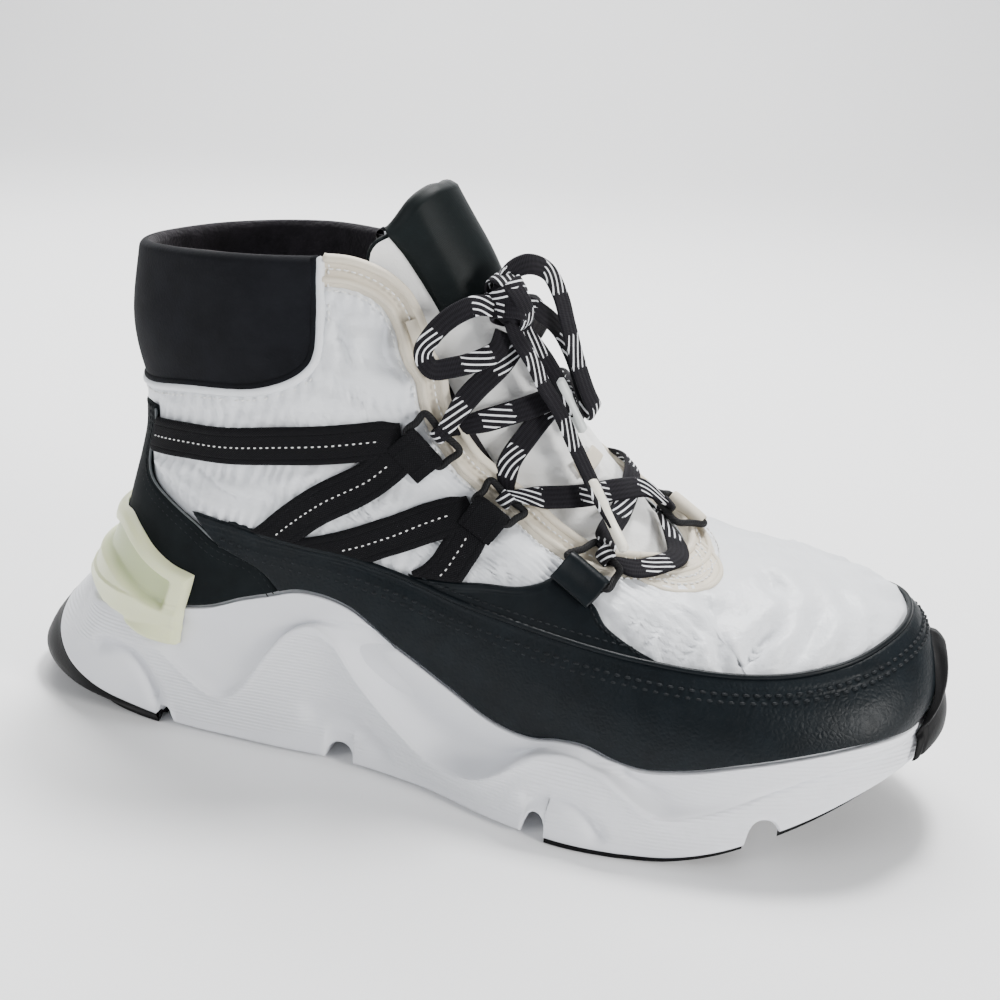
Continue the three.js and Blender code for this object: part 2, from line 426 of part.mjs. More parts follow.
// ---------------------------------------------------------------- upper
{
  const SIDE = 20, ACROSS = 7, MEDIAL = 24, N = SIDE + ACROSS + MEDIAL;     // columns: lateral side, across the front, medial side
  const T_LOW = [0, .09, .2, .32, .44, THROAT_BOTTOM], HIGH = 7;
  const NV = T_LOW.length - 1 + HIGH;
  const columnS = (i, t) => {
    const a = read(THROAT, t, 'lateral'), b = read(THROAT, t, 'medial');
    if (i <= SIDE) return a * i / SIDE;
    if (i <= SIDE + ACROSS) return a + (b - a) * (i - SIDE) / ACROSS;
    return 1 - (1 - b) * (N - i) / MEDIAL;
  };
  const rowT = (i, j) => {
    if (j < T_LOW.length) return T_LOW[j];
    const v = (j - T_LOW.length + 1) / HIGH, s0 = columnS(i, 1);
    return THROAT_BOTTOM + (1 - read(COLLAR_DROP, fold(s0)) - THROAT_BOTTOM) * v;
  };
  const at = (i, j, h) => { const t = rowT(i, j), s = columnS(i, t); return skin(s, t, h * wallAt(t)); };
  piece('upper', shell(N, NV, (i, j) => at(i, j, 0), (i, j) => at(i, j, -1),
    { ringed: true, keep: (i, j) => !(i >= SIDE && i < SIDE + ACROSS && j >= T_LOW.length - 1) }), COLOUR.nylon, .55);
}

// ---------------------------------------------------------------- tongue
{
  const NU = 12, NV = 11;
  const TONGUE_FOOT = .53;
  const edgeS = (v) => curve([[0, .350], [.2, .338], [.5, .322], [.8, .316], [1, .322]], 1, v);
  const at = (i, j, deep) => {
    const v = j / NV, a = edgeS(v), b = 1 - edgeS(v) - .13 * (1 - smooth(v / .6)), s = a + (b - a) * i / NU, e = fold(i <= NU / 2 ? a : b);
    const top = 1 + read(TONGUE_TOP, fold(s)) / 150, t = TONGUE_FOOT + (top - TONGUE_FOOT) * v;
    const inside = Math.min(s - read(THROAT, t, 'lateral'), read(THROAT, t, 'medial') - s);
    const centre = smooth((inside - .004) / .05) * smooth((t - .575) / .06);
    const above = smooth((t - .97) / .05);
    const face = -(wallAt(t) + GAP + .85) + 2.9 * centre + .8 * above * (1 - centre);
    return skinUp(s, t, face - deep * (TONGUE - 2.2 * (1 - smooth(Math.min(s - a, b - s) / .05))));
  };
  piece('tongue', shell(NU, NV, (i, j) => at(i, j, 0), (i, j) => at(i, j, 1)), COLOUR.tongue, .6);
}

// ---------------------------------------------------------------- overlays
{
  // heel counter and backstay
  const NU = 16, NV = 9;
  const low = (s) => rimT(s) + .012;
  const at = (i, j, h) => {
    const v = j / NV, t0 = .2 + (.748 - .2) * v, e = read(COUNTER_EDGE, t0) - .0015, s = -e + 2 * e * i / NU;
    const t = low(s) + (.748 - low(s)) * v;
    return skin(s, t, h);
  };
  piece('heel_counter', shell(NU, NV, (i, j) => at(i, j, GAP + .1 + OVERLAY), (i, j) => at(i, j, GAP + .1)), COLOUR.nubuck, .85);
}
{
  // leather rand from the counter round the toe and back
  const NU = 44, NV = 5;
  const at = (i, j, h) => {
    const v = j / NV;
    let u = i / NU;
    const f = u <= .5 ? u * 2 : (1 - u) * 2;
    const backT = rimT(.17) + .012 + (.402 - rimT(.17) - .012) * v;       // the counter's front edge
    const s0 = read(COUNTER_EDGE, backT) + .004, s = s0 + (.5 - s0) * f;
    const bottom = rimT(s) + .012, top = read(RAND_TOP, s);
    const t = bottom + (top - bottom) * v;
    return skin(u <= .5 ? s : 1 - s, t, h);
  };
  piece('rand', shell(NU, NV, (i, j) => at(i, j, GAP + .15 + OVERLAY), (i, j) => at(i, j, GAP + .15)), COLOUR.leather, .5);
}
for (const [name, flip] of [['wing_lateral', false], ['wing_medial', true]]) {
  const NU = flip ? 13 : 10, NV = 3;
  const at = (i, j, h) => {
    const u = flip ? 1 - i / NU : i / NU, v = j / NV, reach = flip ? 1.75 : 1;
    const s = .232 + (read(WING_FRONT, v) - .232) * u * reach, sTop = .232 + (.3235 - .232) * u;
    const bottom = read(RAND_TOP, s) + .007, top = Math.max(read(WING_TOP, sTop), bottom + .012);
    return skin(flip ? 1 - s : s, bottom + (top - bottom) * v, h);
  };
  piece(name, shell(NU, NV, (i, j) => at(i, j, GAP + .1 + OVERLAY), (i, j) => at(i, j, GAP + .1)), COLOUR.leather, .5);
}

// heel clip: a band round the heel over the counter and the midsole's rim
{
  const NU = 24, NV = 6;
  const at = (i, j, h) => {
    const s = -CLIP_END + 2 * CLIP_END * i / NU, f = fold(s), z0 = read(CLIP_EDGE, f, 'low'), z1 = read(CLIP_EDGE, f, 'high');
    return add(coveredFace(s, z0 + (z1 - z0) * j / NV, GAP + OVERLAY + .1), outlineNormal(s), h);
  };
  piece('heel_clip', fromManifold(toManifold(shell(NU, NV, (i, j) => at(i, j, .6 + CLIP), (i, j) => at(i, j, .6))).subtract(grown)), COLOUR.clip, .4);
}

// ---------------------------------------------------------------- straps
function bandSections(path, flip, wide, thick, h, steps) {
  const c = new THREE.CatmullRomCurve3(path.map(([s, t]) => new THREE.Vector3(s, t, 0)));
  const pts = c.getPoints(steps).map((p) => [flip ? 1 - p.x : p.x, p.y]);
  return pts.map(([s, t], k) => {
    const a = pts[Math.max(0, k - 1)], b = pts[Math.min(pts.length - 1, k + 1)];
    const dir = unit(sub(last(b[0], b[1]), last(a[0], a[1]))), n = lastNormal(s, t), w = unit(cross(n, dir));
    const lo = skin(s, t, h), hi = skin(s, t, h + thick);
    return [add(lo, w, -wide / 2), add(lo, w, wide / 2), add(hi, w, wide / 2), add(hi, w, -wide / 2)];
  });
}
for (const [flip, sideName] of [[false, 'lateral'], [true, 'medial']])
  for (const name of ['rear', 'front']) {
    const [a, b] = STRAPS[name].map((path) => toManifold(sweep(bandSections(path, flip, WEBBING[0], WEBBING[1], flip && name === 'front' ? 1.3 : .75, 9))));
    piece(`strap_${name}_${sideName}`, fromManifold(a.add(b)), COLOUR.webbing, .8);
  }

// ---------------------------------------------------------------- lace loops
function tube(points, radius, sides, closed, up) {
  const n = points.length;
  return sweep(points.map((p, k) => {
    const a = points[closed ? (k + n - 1) % n : Math.max(0, k - 1)], b = points[closed ? (k + 1) % n : Math.min(n - 1, k + 1)];
    const dir = unit(sub(b, a)), u = unit(cross(dir, up)), v = unit(cross(dir, u));
    return Array.from({ length: sides }, (_, i) => { const w = 2 * Math.PI * i / sides; return add(add(p, u, radius * Math.cos(w)), v, radius * Math.sin(w)); });
  }), closed);
}
const LOOP_HEIGHT = 3.7;
const loopsGrown = [];
for (const [name, [a, b, c, d]] of Object.entries(LOOPS)) {
  const m = (p, q) => [(p[0] + q[0]) / 2, (p[1] + q[1]) / 2];
  const ringPath = [a, m(a, b), b, m(b, d), d, m(c, d), c, m(a, c)].map(([s, t]) => new THREE.Vector3(...skin(s, t, LOOP_HEIGHT)));
  const curve3 = new THREE.CatmullRomCurve3(ringPath, true), q = m(a, b);
  const path = curve3.getSpacedPoints(14).slice(0, 14).map((p) => [p.x, p.y, p.z]);
  piece(`lace_loop_${name}`, tube(path, LOOP_CORD / 2, 6, true, lastNormal(q[0], q[1])), COLOUR.cord, .6);
  loopsGrown.push(toManifold(tube(path, LOOP_CORD / 2 + GAP, 6, true, lastNormal(q[0], q[1]))));
}

// ---------------------------------------------------------------- laces
const KNOT = { centre: [151.4, -13.1, 146.2], half: [6.2, 8.5, 5.2] };    // half sizes across, up and out
function knotForm(grow) {
  const n = lastNormal(.45, .92), across = unit(cross([0, 0, 1], n)), up = cross(n, across), m = new Solid(), NU = 14, NV = 8, rows = [];
  const at = (a, b) => add(add(add(KNOT.centre, across, (KNOT.half[0] + grow) * Math.sin(b) * Math.cos(a)), up, (KNOT.half[1] + grow) * Math.sin(b) * Math.sin(a)), n, (KNOT.half[2] + grow) * Math.cos(b));
  const top = m.point(at(0, 0)), bottom = m.point(at(0, Math.PI));
  for (let j = 1; j < NV; j++) rows.push(Array.from({ length: NU }, (_, i) => m.point(at(2 * Math.PI * i / NU, Math.PI * j / NV))));
  for (let i = 0; i < NU; i++) {
    const k = (i + 1) % NU;
    m.tri(top, rows[0][i], rows[0][k]);
    m.tri(bottom, rows[NV - 2][k], rows[NV - 2][i]);
    for (let j = 0; j + 1 < rows.length; j++) m.quad(rows[j][i], rows[j + 1][i], rows[j + 1][k], rows[j][k]);
  }
  return m;
}
const TURN = LOOP_CORD / 2 + GAP + .3 + LACE[1] / 2;
// where the lace lies on a loop: the middle of its cord, the cord's direction,
// the surface's normal and the way into the loop
function hold(name) {
  const [a, b, c, d] = LOOPS[name], q = [(a[0] + b[0]) / 2, (a[1] + b[1]) / 2], r = [(c[0] + d[0]) / 2, (c[1] + d[1]) / 2];
  const A = skin(q[0], q[1], LOOP_HEIGHT), n = lastNormal(q[0], q[1]), along = unit(sub(skin(b[0], b[1], LOOP_HEIGHT), skin(a[0], a[1], LOOP_HEIGHT)));
  let into = unit(cross(along, n));
  if (into[0] * (skin(r[0], r[1], LOOP_HEIGHT)[0] - A[0]) + into[1] * (skin(r[0], r[1], LOOP_HEIGHT)[1] - A[1]) + into[2] * (skin(r[0], r[1], LOOP_HEIGHT)[2] - A[2]) < 0) into = into.map((v) => -v);
  return { A, n, along, into };
}
const BUNCHED = 4.6;           // width of the lace where it passes a loop
const bandCorners = (p, w, n, wide) => [add(add(p, w, -wide / 2), n, -LACE[1] / 2), add(add(p, w, wide / 2), n, -LACE[1] / 2), add(add(p, w, wide / 2), n, LACE[1] / 2), add(add(p, w, -wide / 2), n, LACE[1] / 2)];
function strand({ from, to, via }) {
  const knots = [], rows = [];
  const end = ([name, side]) => { const { A, n, along } = hold(name); return { p: add(A, n, side * TURN), n, w: along, wide: BUNCHED }; };
  knots.push(end(from));
  for (const [s, t, h] of via) knots.push({ p: skin(s, t, h), n: lastNormal(s, t), w: null, wide: LACE[0] });
  if (to) knots.push(end(to)); else knots.push({ p: KNOT.centre, n: lastNormal(.45, .92), w: null, wide: LACE[0] - 2 });
  const c = new THREE.CatmullRomCurve3(knots.map((k) => new THREE.Vector3(...k.p)), false, 'centripetal'), steps = knots.length - 1, per = 3;
  for (let k = 0; k <= steps * per; k++) {
    const u = k / per, i = Math.min(steps - 1, Math.floor(u)), f = u - i, p = c.getPoint(k / (steps * per)), q = c.getTangent(k / (steps * per));
    const n = unit(mix(knots[i].n, knots[i + 1].n, f)), dir = [q.x, q.y, q.z];
    let w = unit(cross(n, dir));
    for (const [e, g] of [[knots[i], 1 - f], [knots[i + 1], f]]) if (e.w && g > 0) {
      const sign = e.w[0] * w[0] + e.w[1] * w[1] + e.w[2] * w[2] < 0 ? -1 : 1;
      w = unit(add(w.map((v) => v * (1 - g)), e.w, sign * g));
    }
    rows.push(bandCorners([p.x, p.y, p.z], w, n, knots[i].wide + (knots[i + 1].wide - knots[i].wide) * f));
  }
  return toManifold(sweep(rows));
}
// the fold of the lace round a loop's cord
function turn(name) {
  const { A, n, along: c, into } = hold(name), rows = [], x = cross(c, n);
  const along = x[0] * into[0] + x[1] * into[1] + x[2] * into[2] > 0 ? c : c.map((v) => -v);
  for (let k = -1; k <= 7; k++) {
    const w = Math.PI * clamp(k, 0, 6) / 6, radial = add(n.map((v) => v * Math.cos(w)), into, Math.sin(w)), back = k < 0 || k > 6 ? -.6 : 0;
    rows.push(bandCorners(add(add(A, radial, TURN), into, back), along, radial, BUNCHED));
  }
  return toManifold(sweep(rows));
}
{
  let lace = null;
  for (const body of [...Object.values(STRANDS).map(strand), ...Object.keys(LOOPS).map(turn)]) {
    lace = lace ? lace.add(body) : body;
  }
  for (const loop of loopsGrown) lace = lace.subtract(loop);
  piece('lace_crossings', fromManifold(lace.subtract(toManifold(knotForm(GAP)))), COLOUR.lace, .8);
}

// the free parts of the lace: knot, bow and ends, with their tips
const CORDS = {
  lace_bow_left: [[150.4, -15.4, 145.6], [148.5, -17.7, 145.4], [144.5, -22.9, 146.1], [139.3, -27.7, 143.4], [134.9, -30.5, 138.5], [132.4, -31.1, 132.9],
    [134.7, -29.4, 128.1], [139.7, -26.3, 128.5], [145.5, -22.7, 130.2], [150.5, -18.5, 133.2], [151.5, -16, 138]],
  lace_bow_right: [[150.2, -12.8, 150], [150.6, -12.4, 153.7], [154.7, -8.2, 156.5], [159.9, -2.1, 154], [164.2, -1.8, 147.4], [167.7, -4.2, 139.5],
    [171.5, -5.3, 129.7], [175.6, -5.4, 120.4], [178.1, -4.4, 115.4], [176.6, -1.2, 114], [172.9, .4, 120.5], [168.5, 1.6, 129.4], [164.1, -.3, 137.3], [159, -6.5, 143.2], [155, -10, 145.5]],
  lace_end_1: [[153.3, -16, 141.5], [155.6, -16, 136.8], [160.1, -14.9, 130.4], [164.2, -14, 123.1], [168.7, -12.7, 116.3], [174.3, -12.6, 106.3], [180.2, -13.7, 96.8]],
  lace_end_2: [[154.3, -11.6, 141.6], [156.5, -10.7, 137.6], [159.3, -9.5, 134.2], [163, -8, 129.4], [166.5, -7.4, 124.2]],
};
const AGLETS = {
  aglet_1: [[180.55, -13.95, 96.3], [187.4, -19.6, 88.4], [194, -27.3, 82.4]],
  aglet_2: [[166.8, -7.35, 123.6], [171.3, -7.1, 116.2], [175.4, -7.2, 109.4]],
};
function ribbon(points, wide, endWide, steps) {
  const c = new THREE.CatmullRomCurve3(points.map((p) => new THREE.Vector3(...p)), false, 'centripetal'), out = [.78, -.5, .38], rows = [];
  let w = null;
  for (let k = 0; k <= steps; k++) {
    const p = c.getPointAt(k / steps), q = c.getTangentAt(k / steps), dir = [q.x, q.y, q.z], x = cross(out, dir);
    const dot = (a, b) => a[0] * b[0] + a[1] * b[1] + a[2] * b[2];
    if (!w) w = unit(x);
    else if (Math.hypot(...x) > .55) w = unit(mix(w, unit(x.map((v) => v * Math.sign(dot(x, w) || 1))), .6));
    w = unit(add(w, dir, -dot(w, dir)));
    rows.push(bandCorners([p.x, p.y, p.z], w, cross(dir, w), wide + (endWide - wide) * smooth((k / steps - .8) / .2)));
  }
  return toManifold(sweep(rows));
}
piece('lace_knot', knotForm(0), COLOUR.lace, .8);
for (const [name, points] of Object.entries(CORDS)) {
  const bow = name.includes('bow');
  piece(name, fromManifold(ribbon(points, bow ? LACE[0] - 1 : 5.5, bow ? LACE[0] - 1 : 3.4, name.endsWith('right') ? 30 : 18).subtract(toManifold(knotForm(GAP)))), COLOUR.lace, .8);
}
for (const [name, points] of Object.entries(AGLETS)) {
  const c = new THREE.CatmullRomCurve3(points.map((p) => new THREE.Vector3(...p)));
  piece(name, tube(c.getPoints(4).map((p) => [p.x, p.y, p.z]), 1.9, 8, false, [.78, -.5, .38]), COLOUR.aglet, .4);
}

export default boot;
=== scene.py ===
"""Looks of the sneaker boot: a right boot whose outer side faces the camera.

Lengths are millimetres in the builder's own frame (x from heel to toe, y to the
inner side, z up, the floor at 0) and are turned into metres in place().
"""
import math
import bpy
import numpy as np
from mathutils import Matrix


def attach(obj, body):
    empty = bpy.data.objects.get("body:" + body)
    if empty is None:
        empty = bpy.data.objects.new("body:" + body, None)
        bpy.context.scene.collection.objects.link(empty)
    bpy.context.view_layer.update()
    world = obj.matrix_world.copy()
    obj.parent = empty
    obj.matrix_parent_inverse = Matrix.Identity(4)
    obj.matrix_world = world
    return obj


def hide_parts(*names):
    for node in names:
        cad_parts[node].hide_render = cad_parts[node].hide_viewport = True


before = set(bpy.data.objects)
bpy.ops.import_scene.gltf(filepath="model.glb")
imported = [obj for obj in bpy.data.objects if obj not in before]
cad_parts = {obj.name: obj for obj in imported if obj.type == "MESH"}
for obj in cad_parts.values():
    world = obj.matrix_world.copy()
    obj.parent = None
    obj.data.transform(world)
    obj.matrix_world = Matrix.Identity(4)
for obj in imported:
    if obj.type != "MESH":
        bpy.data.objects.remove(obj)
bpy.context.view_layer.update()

MM = 0.001
ORIGIN = np.array([143.5, -3.2, 0.0])


def place(p):
    return (np.asarray(p, float) - ORIGIN) * MM


# ------------------------------------------------------------------ camera
def make_camera():
    right, up, back = (0.965336, 0.251926, 0.068261), (-0.151938, 0.329728, 0.93177), (0.212229, -0.909842, 0.356575)
    at = place((237.1, -372.4, 226.7))
    cam = bpy.data.cameras.new("camera")
    cam.sensor_width, cam.lens, cam.clip_start = 36, 36 * 1.3119, 0.01
    ob = bpy.data.objects.new("camera", cam)
    ob.matrix_world = Matrix([[right[i], up[i], back[i], at[i]] for i in range(3)] + [[0, 0, 0, 1]])
    bpy.context.scene.collection.objects.link(ob)
    bpy.context.scene.camera = ob


make_camera()

# ------------------------------------------------------------------ sizes and tables, as in the CAD
SOLE_BACK, SOLE_LENGTH, GAP, OVERLAY = -8.0, 300.0, 0.35, 1.2
OUTSOLE, BUMPER, RIM, CLIP = 3.2, 2.9, 1.7, 2.8
LACE_WIDTH, LACE_THICK, LOOP_CORD, LOOP_HEIGHT = 7.0, 1.3, 2.2, 3.7
RING_COLUMNS = "t xBack xFront yFront zHeel zArch zBall zToe heelLat midLat ballLat heelMed midMed ballMed capBack capFront nBack nFront".split()
RINGS = np.array([
    [0.00, 20,   278, 6,  32,  27,  16,  36, 32, 37, 49, 30, 29, 42, .16, .26, 2.2, 2.4],
    [0.10, 20.5, 285, 6,  40,  36,  26,  42, 36, 40, 53, 33, 32, 46, .16, .26, 2.2, 2.45],
    [0.22, 24,   286, 8,  52,  49,  40,  50, 36, 41, 53, 35, 34, 45, .17, .27, 2.2, 2.4],
    [0.34, 27.5, 277, 11, 62,  62,  53,  62, 35, 40, 49, 34, 35, 40, .18, .29, 2.1, 2.3],
    [0.46, 30,   252, 14, 72,  74,  66,  69, 33, 38, 43, 33, 36, 32, .20, .34, 2.1, 2.2],
    [0.57, 33,   217, 14, 83,  85,  79,  74, 31, 37, 37, 31, 34, 24, .24, .42, 2.1, 2.1],
    [0.68, 35,   191, 11, 94,  96,  92,  89, 31, 35, 32, 31, 33, 22, .28, .50, 2.1, 2.0],
    [0.78, 34.5, 171, 7, 106, 110, 111, 112, 32, 34, 30, 32, 33, 24, .33, .55, 2.1, 2.0],
    [0.89, 30,   154, 3, 128, 132, 136, 138, 33, 35, 29, 33, 35, 27, .38, .58, 2.1, 2.0],
    [1.00, 33.5, 141, 1, 153, 156, 157, 158, 34, 36, 29, 34, 36, 28, .42, .60, 2.1, 2.0]])
T = lambda *rows: np.array(rows, float)
PLAN = T((-8, 37, 33), (20, 38, 34), (60, 38.5, 34), (90, 38.5, 32), (115, 38, 30), (140, 43, 33),
         (165, 52, 39), (190, 57.5, 45), (215, 57, 47), (240, 55, 46), (265, 51, 44), (292, 46, 40))
TREAD = T((-8, 0), (205, 0), (218, .9), (232, 4.2), (245, 9.2), (257, 14.2), (269, 20), (281, 26), (287, 29.5), (292, 33))
TREAD_INSET = T((0, 10), (.03, 12), (.06, 13), (.09, 11.5), (.12, 6.5), (.14, 3), (.157, 1.5), (.4, 1.5), (.5, 3))
CREST = T((-8, 36, -19, .4), (10, 36, -15, .6), (22, 36.5, -7, .9), (31, 38, -3, 1.2), (44, 34.5, 0, 1.8), (55, 28, .5, 2.4),
          (63, 21.5, .5, 3), (74.5, 17, .5, 3.8), (82, 23, 1.5, 4.8), (90, 35, 3, 5), (97, 44, 4.5, 4.4), (104, 48, 5.5, 3.2),
          (111, 46.5, 5.5, 3), (121, 34, 4.5, 4), (133, 21, 2, 4.6), (144, 12.8, .5, 4.2), (152, 11.3, 0, 3.8), (160, 12.8, 0, 3.5),
          (168, 18, 0, 3.4), (175, 24.5, -.5, 3), (183, 27, -2, 1.6), (191, 27, -2.5, 1.2), (199, 25, -1.5, 2.2), (204.5, 22, -.6, 2.8),
          (210, 18.5, 0, 3), (216, 16, 0, 2.4), (226, 17.5, -.5, 1.2), (242, 24, -1, .5), (258, 30, -1.5, .2), (292, 37.5, -2, 0))
RIM_LINE = T((10, 44), (50, 44), (63, 44), (70, 45.5), (81, 50), (91, 53.5), (98, 56), (106, 56.5), (116, 54.5), (132, 44.5),
             (149, 35), (165, 28), (175, 27), (184, 29), (192, 29.5), (200, 27.5), (208, 26.5), (219, 28), (236, 32.5), (253, 36.5), (270, 39.5), (292, 41))
NOTCHES = ((50.5, 56.5, 7.2), (109, 118.5, 6.6), (176.5, 183.5, 8.2), (240, 249, 16.5))
BUMPER_TOP = T((0, 25), (.03, 24), (.07, 17.5), (.1, 12), (.12, 8), (.135, 5.4), (.148, OUTSOLE))
THROAT = T((0, .360, .430), (.556, .362, .435), (.60, .360, .475), (.64, .358, .512), (.68, .356, .545), (.735, .344, .590), (.80, .342, .625),
           (.838, .349, .637), (.868, .348, .646), (.90, .352, .648), (1, .352, .648))
THROAT_BOTTOM = 0.556
COLLAR_DROP = T((0, 0), (.285, 0), (.312, .004), (.338, .018), (.352, .042), (.5, .042))
RAND_TOP = T((.127, .438), (.144, .424), (.158, .411), (.181, .405), (.208, .415), (.231, .400), (.246, .383), (.272, .375),
             (.298, .370), (.323, .363), (.349, .352), (.377, .343), (.412, .340), (.45, .343), (.5, .340))
COUNTER_EDGE = T((.0, .184), (.235, .170), (.265, .167), (.328, .158), (.383, .141), (.450, .125), (.495, .108), (.542, .085), (.748, .089))
WING_TOP = T((.229, .406), (.252, .430), (.269, .453), (.287, .470), (.303, .492), (.318, .515), (.324, .522))
WING_FRONT = T((0, .330), (.14, .323), (.35, .318), (.65, .322), (1, .324))
COLLAR_EDGE = T((0, .792), (.09, .792), (.148, .802), (.203, .807), (.223, .815), (.245, .830), (.258, .848), (.267, .870), (.275, .915), (.281, .955), (.286, .993))
STRAPS = {
    "rear": ([(.080, .660), (.120, .671), (.161, .682), (.214, .713), (.258, .735), (.296, .752)], [(.171, .408), (.186, .480), (.213, .564), (.264, .680), (.294, .737)]),
    "front": ([(.196, .405), (.217, .462), (.234, .503), (.273, .578), (.309, .633)], [(.250, .440), (.2645, .494), (.287, .556), (.309, .620)]),
}
LOOPS = {
    "lateral_1": ((.322, .790), (.331, .740), (.302, .764), (.309, .712)),
    "lateral_2": ((.338, .697), (.340, .634), (.315, .652), (.319, .598)),
    "lateral_3": ((.366, .580), (.356, .528), (.336, .548), (.335, .492)),
    "medial_1": ((.678, .790), (.669, .740), (.698, .764), (.691, .712)),
    "medial_2": ((.662, .697), (.660, .634), (.685, .652), (.681, .598)),
    "medial_3": ((.478, .662), (.459, .612), (.512, .642), (.491, .590)),
}
CLIP_END = .133
CLIP_EDGE = T((0, 40, 65.5), (.045, 39.5, 66), (.066, 38, 67), (.083, 36, 64.5), (.10, 34, 60.5), (.117, 32, 57), (.128, 31.5, 55.5), (.133, 32.5, 54.5))
TONGUE_TOP = T((.318, -6), (.33, 0), (.36, 6), (.40, 14.5), (.44, 19), (.5, 20.5))
STRANDS = {
    "A": (("lateral_1", 1), None, [(.362, .812, 4.6), (.412, .852, 4.4), (.447, .886, 5.2)]),
    "A2": (("medial_1", 1), None, [(.630, .815, 4.6), (.575, .860, 4.4), (.520, .892, 5.2)]),
    "B": (("lateral_1", -1), ("medial_2", 1), [(.368, .782, 2.9), (.419, .796, 3.6), (.475, .802, 3.7), (.540, .785, 3.6), (.605, .733, 4.2)]),
    "C": (("lateral_2", -1), ("medial_1", -1), [(.360, .722, 2.1), (.392, .760, 2.3), (.430, .788, 2.5), (.490, .804, 2.6), (.550, .804, 2.5), (.610, .788, 2.3)]),
    "D": (("lateral_2", 1), ("medial_3", 1), [(.368, .671, 4.4), (.401, .676, 3.6), (.440, .680, 3.6), (.472, .670, 4.0)]),
    "E": (("lateral_3", 1), ("medial_2", -1), [(.376, .590, 4.4), (.420, .648, 2.9), (.470, .686, 2.5), (.530, .699, 2.5), (.595, .690, 2.3)]),
    "F": (("lateral_3", -1), ("medial_3", -1), [(.371, .536, 2.6), (.394, .545, 2.9), (.412, .556, 2.7), (.430, .578, 2.2)]),
}
KNOT = np.array([151.4, -13.1, 146.2])
CORDS = {
    "lace_bow_left": [(150.4, -15.4, 145.6), (148.5, -17.7, 145.4), (144.5, -22.9, 146.1), (139.3, -27.7, 143.4), (134.9, -30.5, 138.5), (132.4, -31.1, 132.9),
                      (134.7, -29.4, 128.1), (139.7, -26.3, 128.5), (145.5, -22.7, 130.2), (150.5, -18.5, 133.2), (151.5, -16, 138)],
    "lace_bow_right": [(150.2, -12.8, 150), (150.6, -12.4, 153.7), (154.7, -8.2, 156.5), (159.9, -2.1, 154), (164.2, -1.8, 147.4), (167.7, -4.2, 139.5),
                       (171.5, -5.3, 129.7), (175.6, -5.4, 120.4), (178.1, -4.4, 115.4), (176.6, -1.2, 114), (172.9, .4, 120.5), (168.5, 1.6, 129.4), (164.1, -.3, 137.3), (159, -6.5, 143.2), (155, -10, 145.5)],
    "lace_end_1": [(153.3, -16, 141.5), (155.6, -16, 136.8), (160.1, -14.9, 130.4), (164.2, -14, 123.1), (168.7, -12.7, 116.3), (174.3, -12.6, 106.3), (180.2, -13.7, 96.8)],
    "lace_end_2": [(154.3, -11.6, 141.6), (156.5, -10.7, 137.6), (159.3, -9.5, 134.2), (163, -8, 129.4), (166.5, -7.4, 124.2)],
}
AGLETS = {
    "aglet_1": [(180.55, -13.95, 96.3), (187.4, -19.6, 88.4), (194, -27.3, 82.4)],
    "aglet_2": [(166.8, -7.35, 123.6), (171.3, -7.1, 116.2), (175.4, -7.2, 109.4)],
}


# ------------------------------------------------------------------ maths
def herm(xs, ys, x):
    xs, ys = np.asarray(xs, float), np.asarray(ys, float)
    x = np.clip(np.asarray(x, float), xs[0], xs[-1])
    n, m, d = len(xs), np.zeros(len(xs)), np.diff(ys) / np.diff(xs)
    m[0], m[-1] = d[0], d[-1]
    for i in range(1, n - 1):
        h0, h1 = xs[i] - xs[i - 1], xs[i + 1] - xs[i]
        m[i] = (d[i - 1] * h1 + d[i] * h0) / (h0 + h1)
    k = np.clip(np.searchsorted(xs, x, side="right") - 1, 0, n - 2)
    h = xs[k + 1] - xs[k]
    u = (x - xs[k]) / h
    return (2*u**3 - 3*u**2 + 1)*ys[k] + (u**3 - 2*u**2 + u)*h*m[k] + (-2*u**3 + 3*u**2)*ys[k + 1] + (u**3 - u**2)*h*m[k + 1]


def read(table, x, col=1):
    return herm(table[:, 0], table[:, col], x)


def smooth(x):
    x = np.clip(x, 0, 1)
    return x * x * (3 - 2 * x)


def dome(d, r):
    """quarter-round profile: 0 at the edge, 1 from r inwards"""
    return np.sqrt(np.clip(1 - (1 - np.clip(d / r, 0, 1))**2, 0, 1))


def capped(u, n):
    return np.clip(1 - (1 - np.clip(u, 0, 1))**n, 0, 1)**(1 / n)


def unit(v):
    v = np.asarray(v, float)
    return v / (np.linalg.norm(v, axis=-1, keepdims=True) + 1e-12)


def fold(s):
    s = np.mod(s, 1.0)
    return np.where(s <= .5, s, 1 - s)


def last(s, t):
    s, t = np.broadcast_arrays(np.mod(np.asarray(s, float), 1.0), np.asarray(t, float))
    r = {c: herm(RINGS[:, 0], RINGS[:, i], t) for i, c in enumerate(RING_COLUMNS) if i}
    lat = s <= .5
    q = (1 - np.cos(np.pi * np.where(lat, s * 2, (1 - s) * 2))) / 2
    h, a, b = (np.where(lat, r[x + "Lat"], r[x + "Med"]) for x in ("heel", "mid", "ball"))
    base = np.where(q <= .42, h + (a - h) * smooth((q - .14) / .28), a + (b - a) * smooth((q - .42) / .30))
    w = base * capped(q / r["capBack"], r["nBack"]) * capped((1 - q) / r["capFront"], r["nFront"])
    at, zs, z = [0, .38, .72, 1], [r["zHeel"], r["zArch"], r["zBall"], r["zToe"]], 0
    for i in range(4):
        l = 1
        for j in range(4):
            if j != i:
                l = l * (q - at[j]) / (at[i] - at[j])
        z = z + l * zs[i]
    return np.stack([r["xBack"] + (r["xFront"] - r["xBack"]) * q, r["yFront"] * q * q + np.where(lat, -w, w), z], -1)


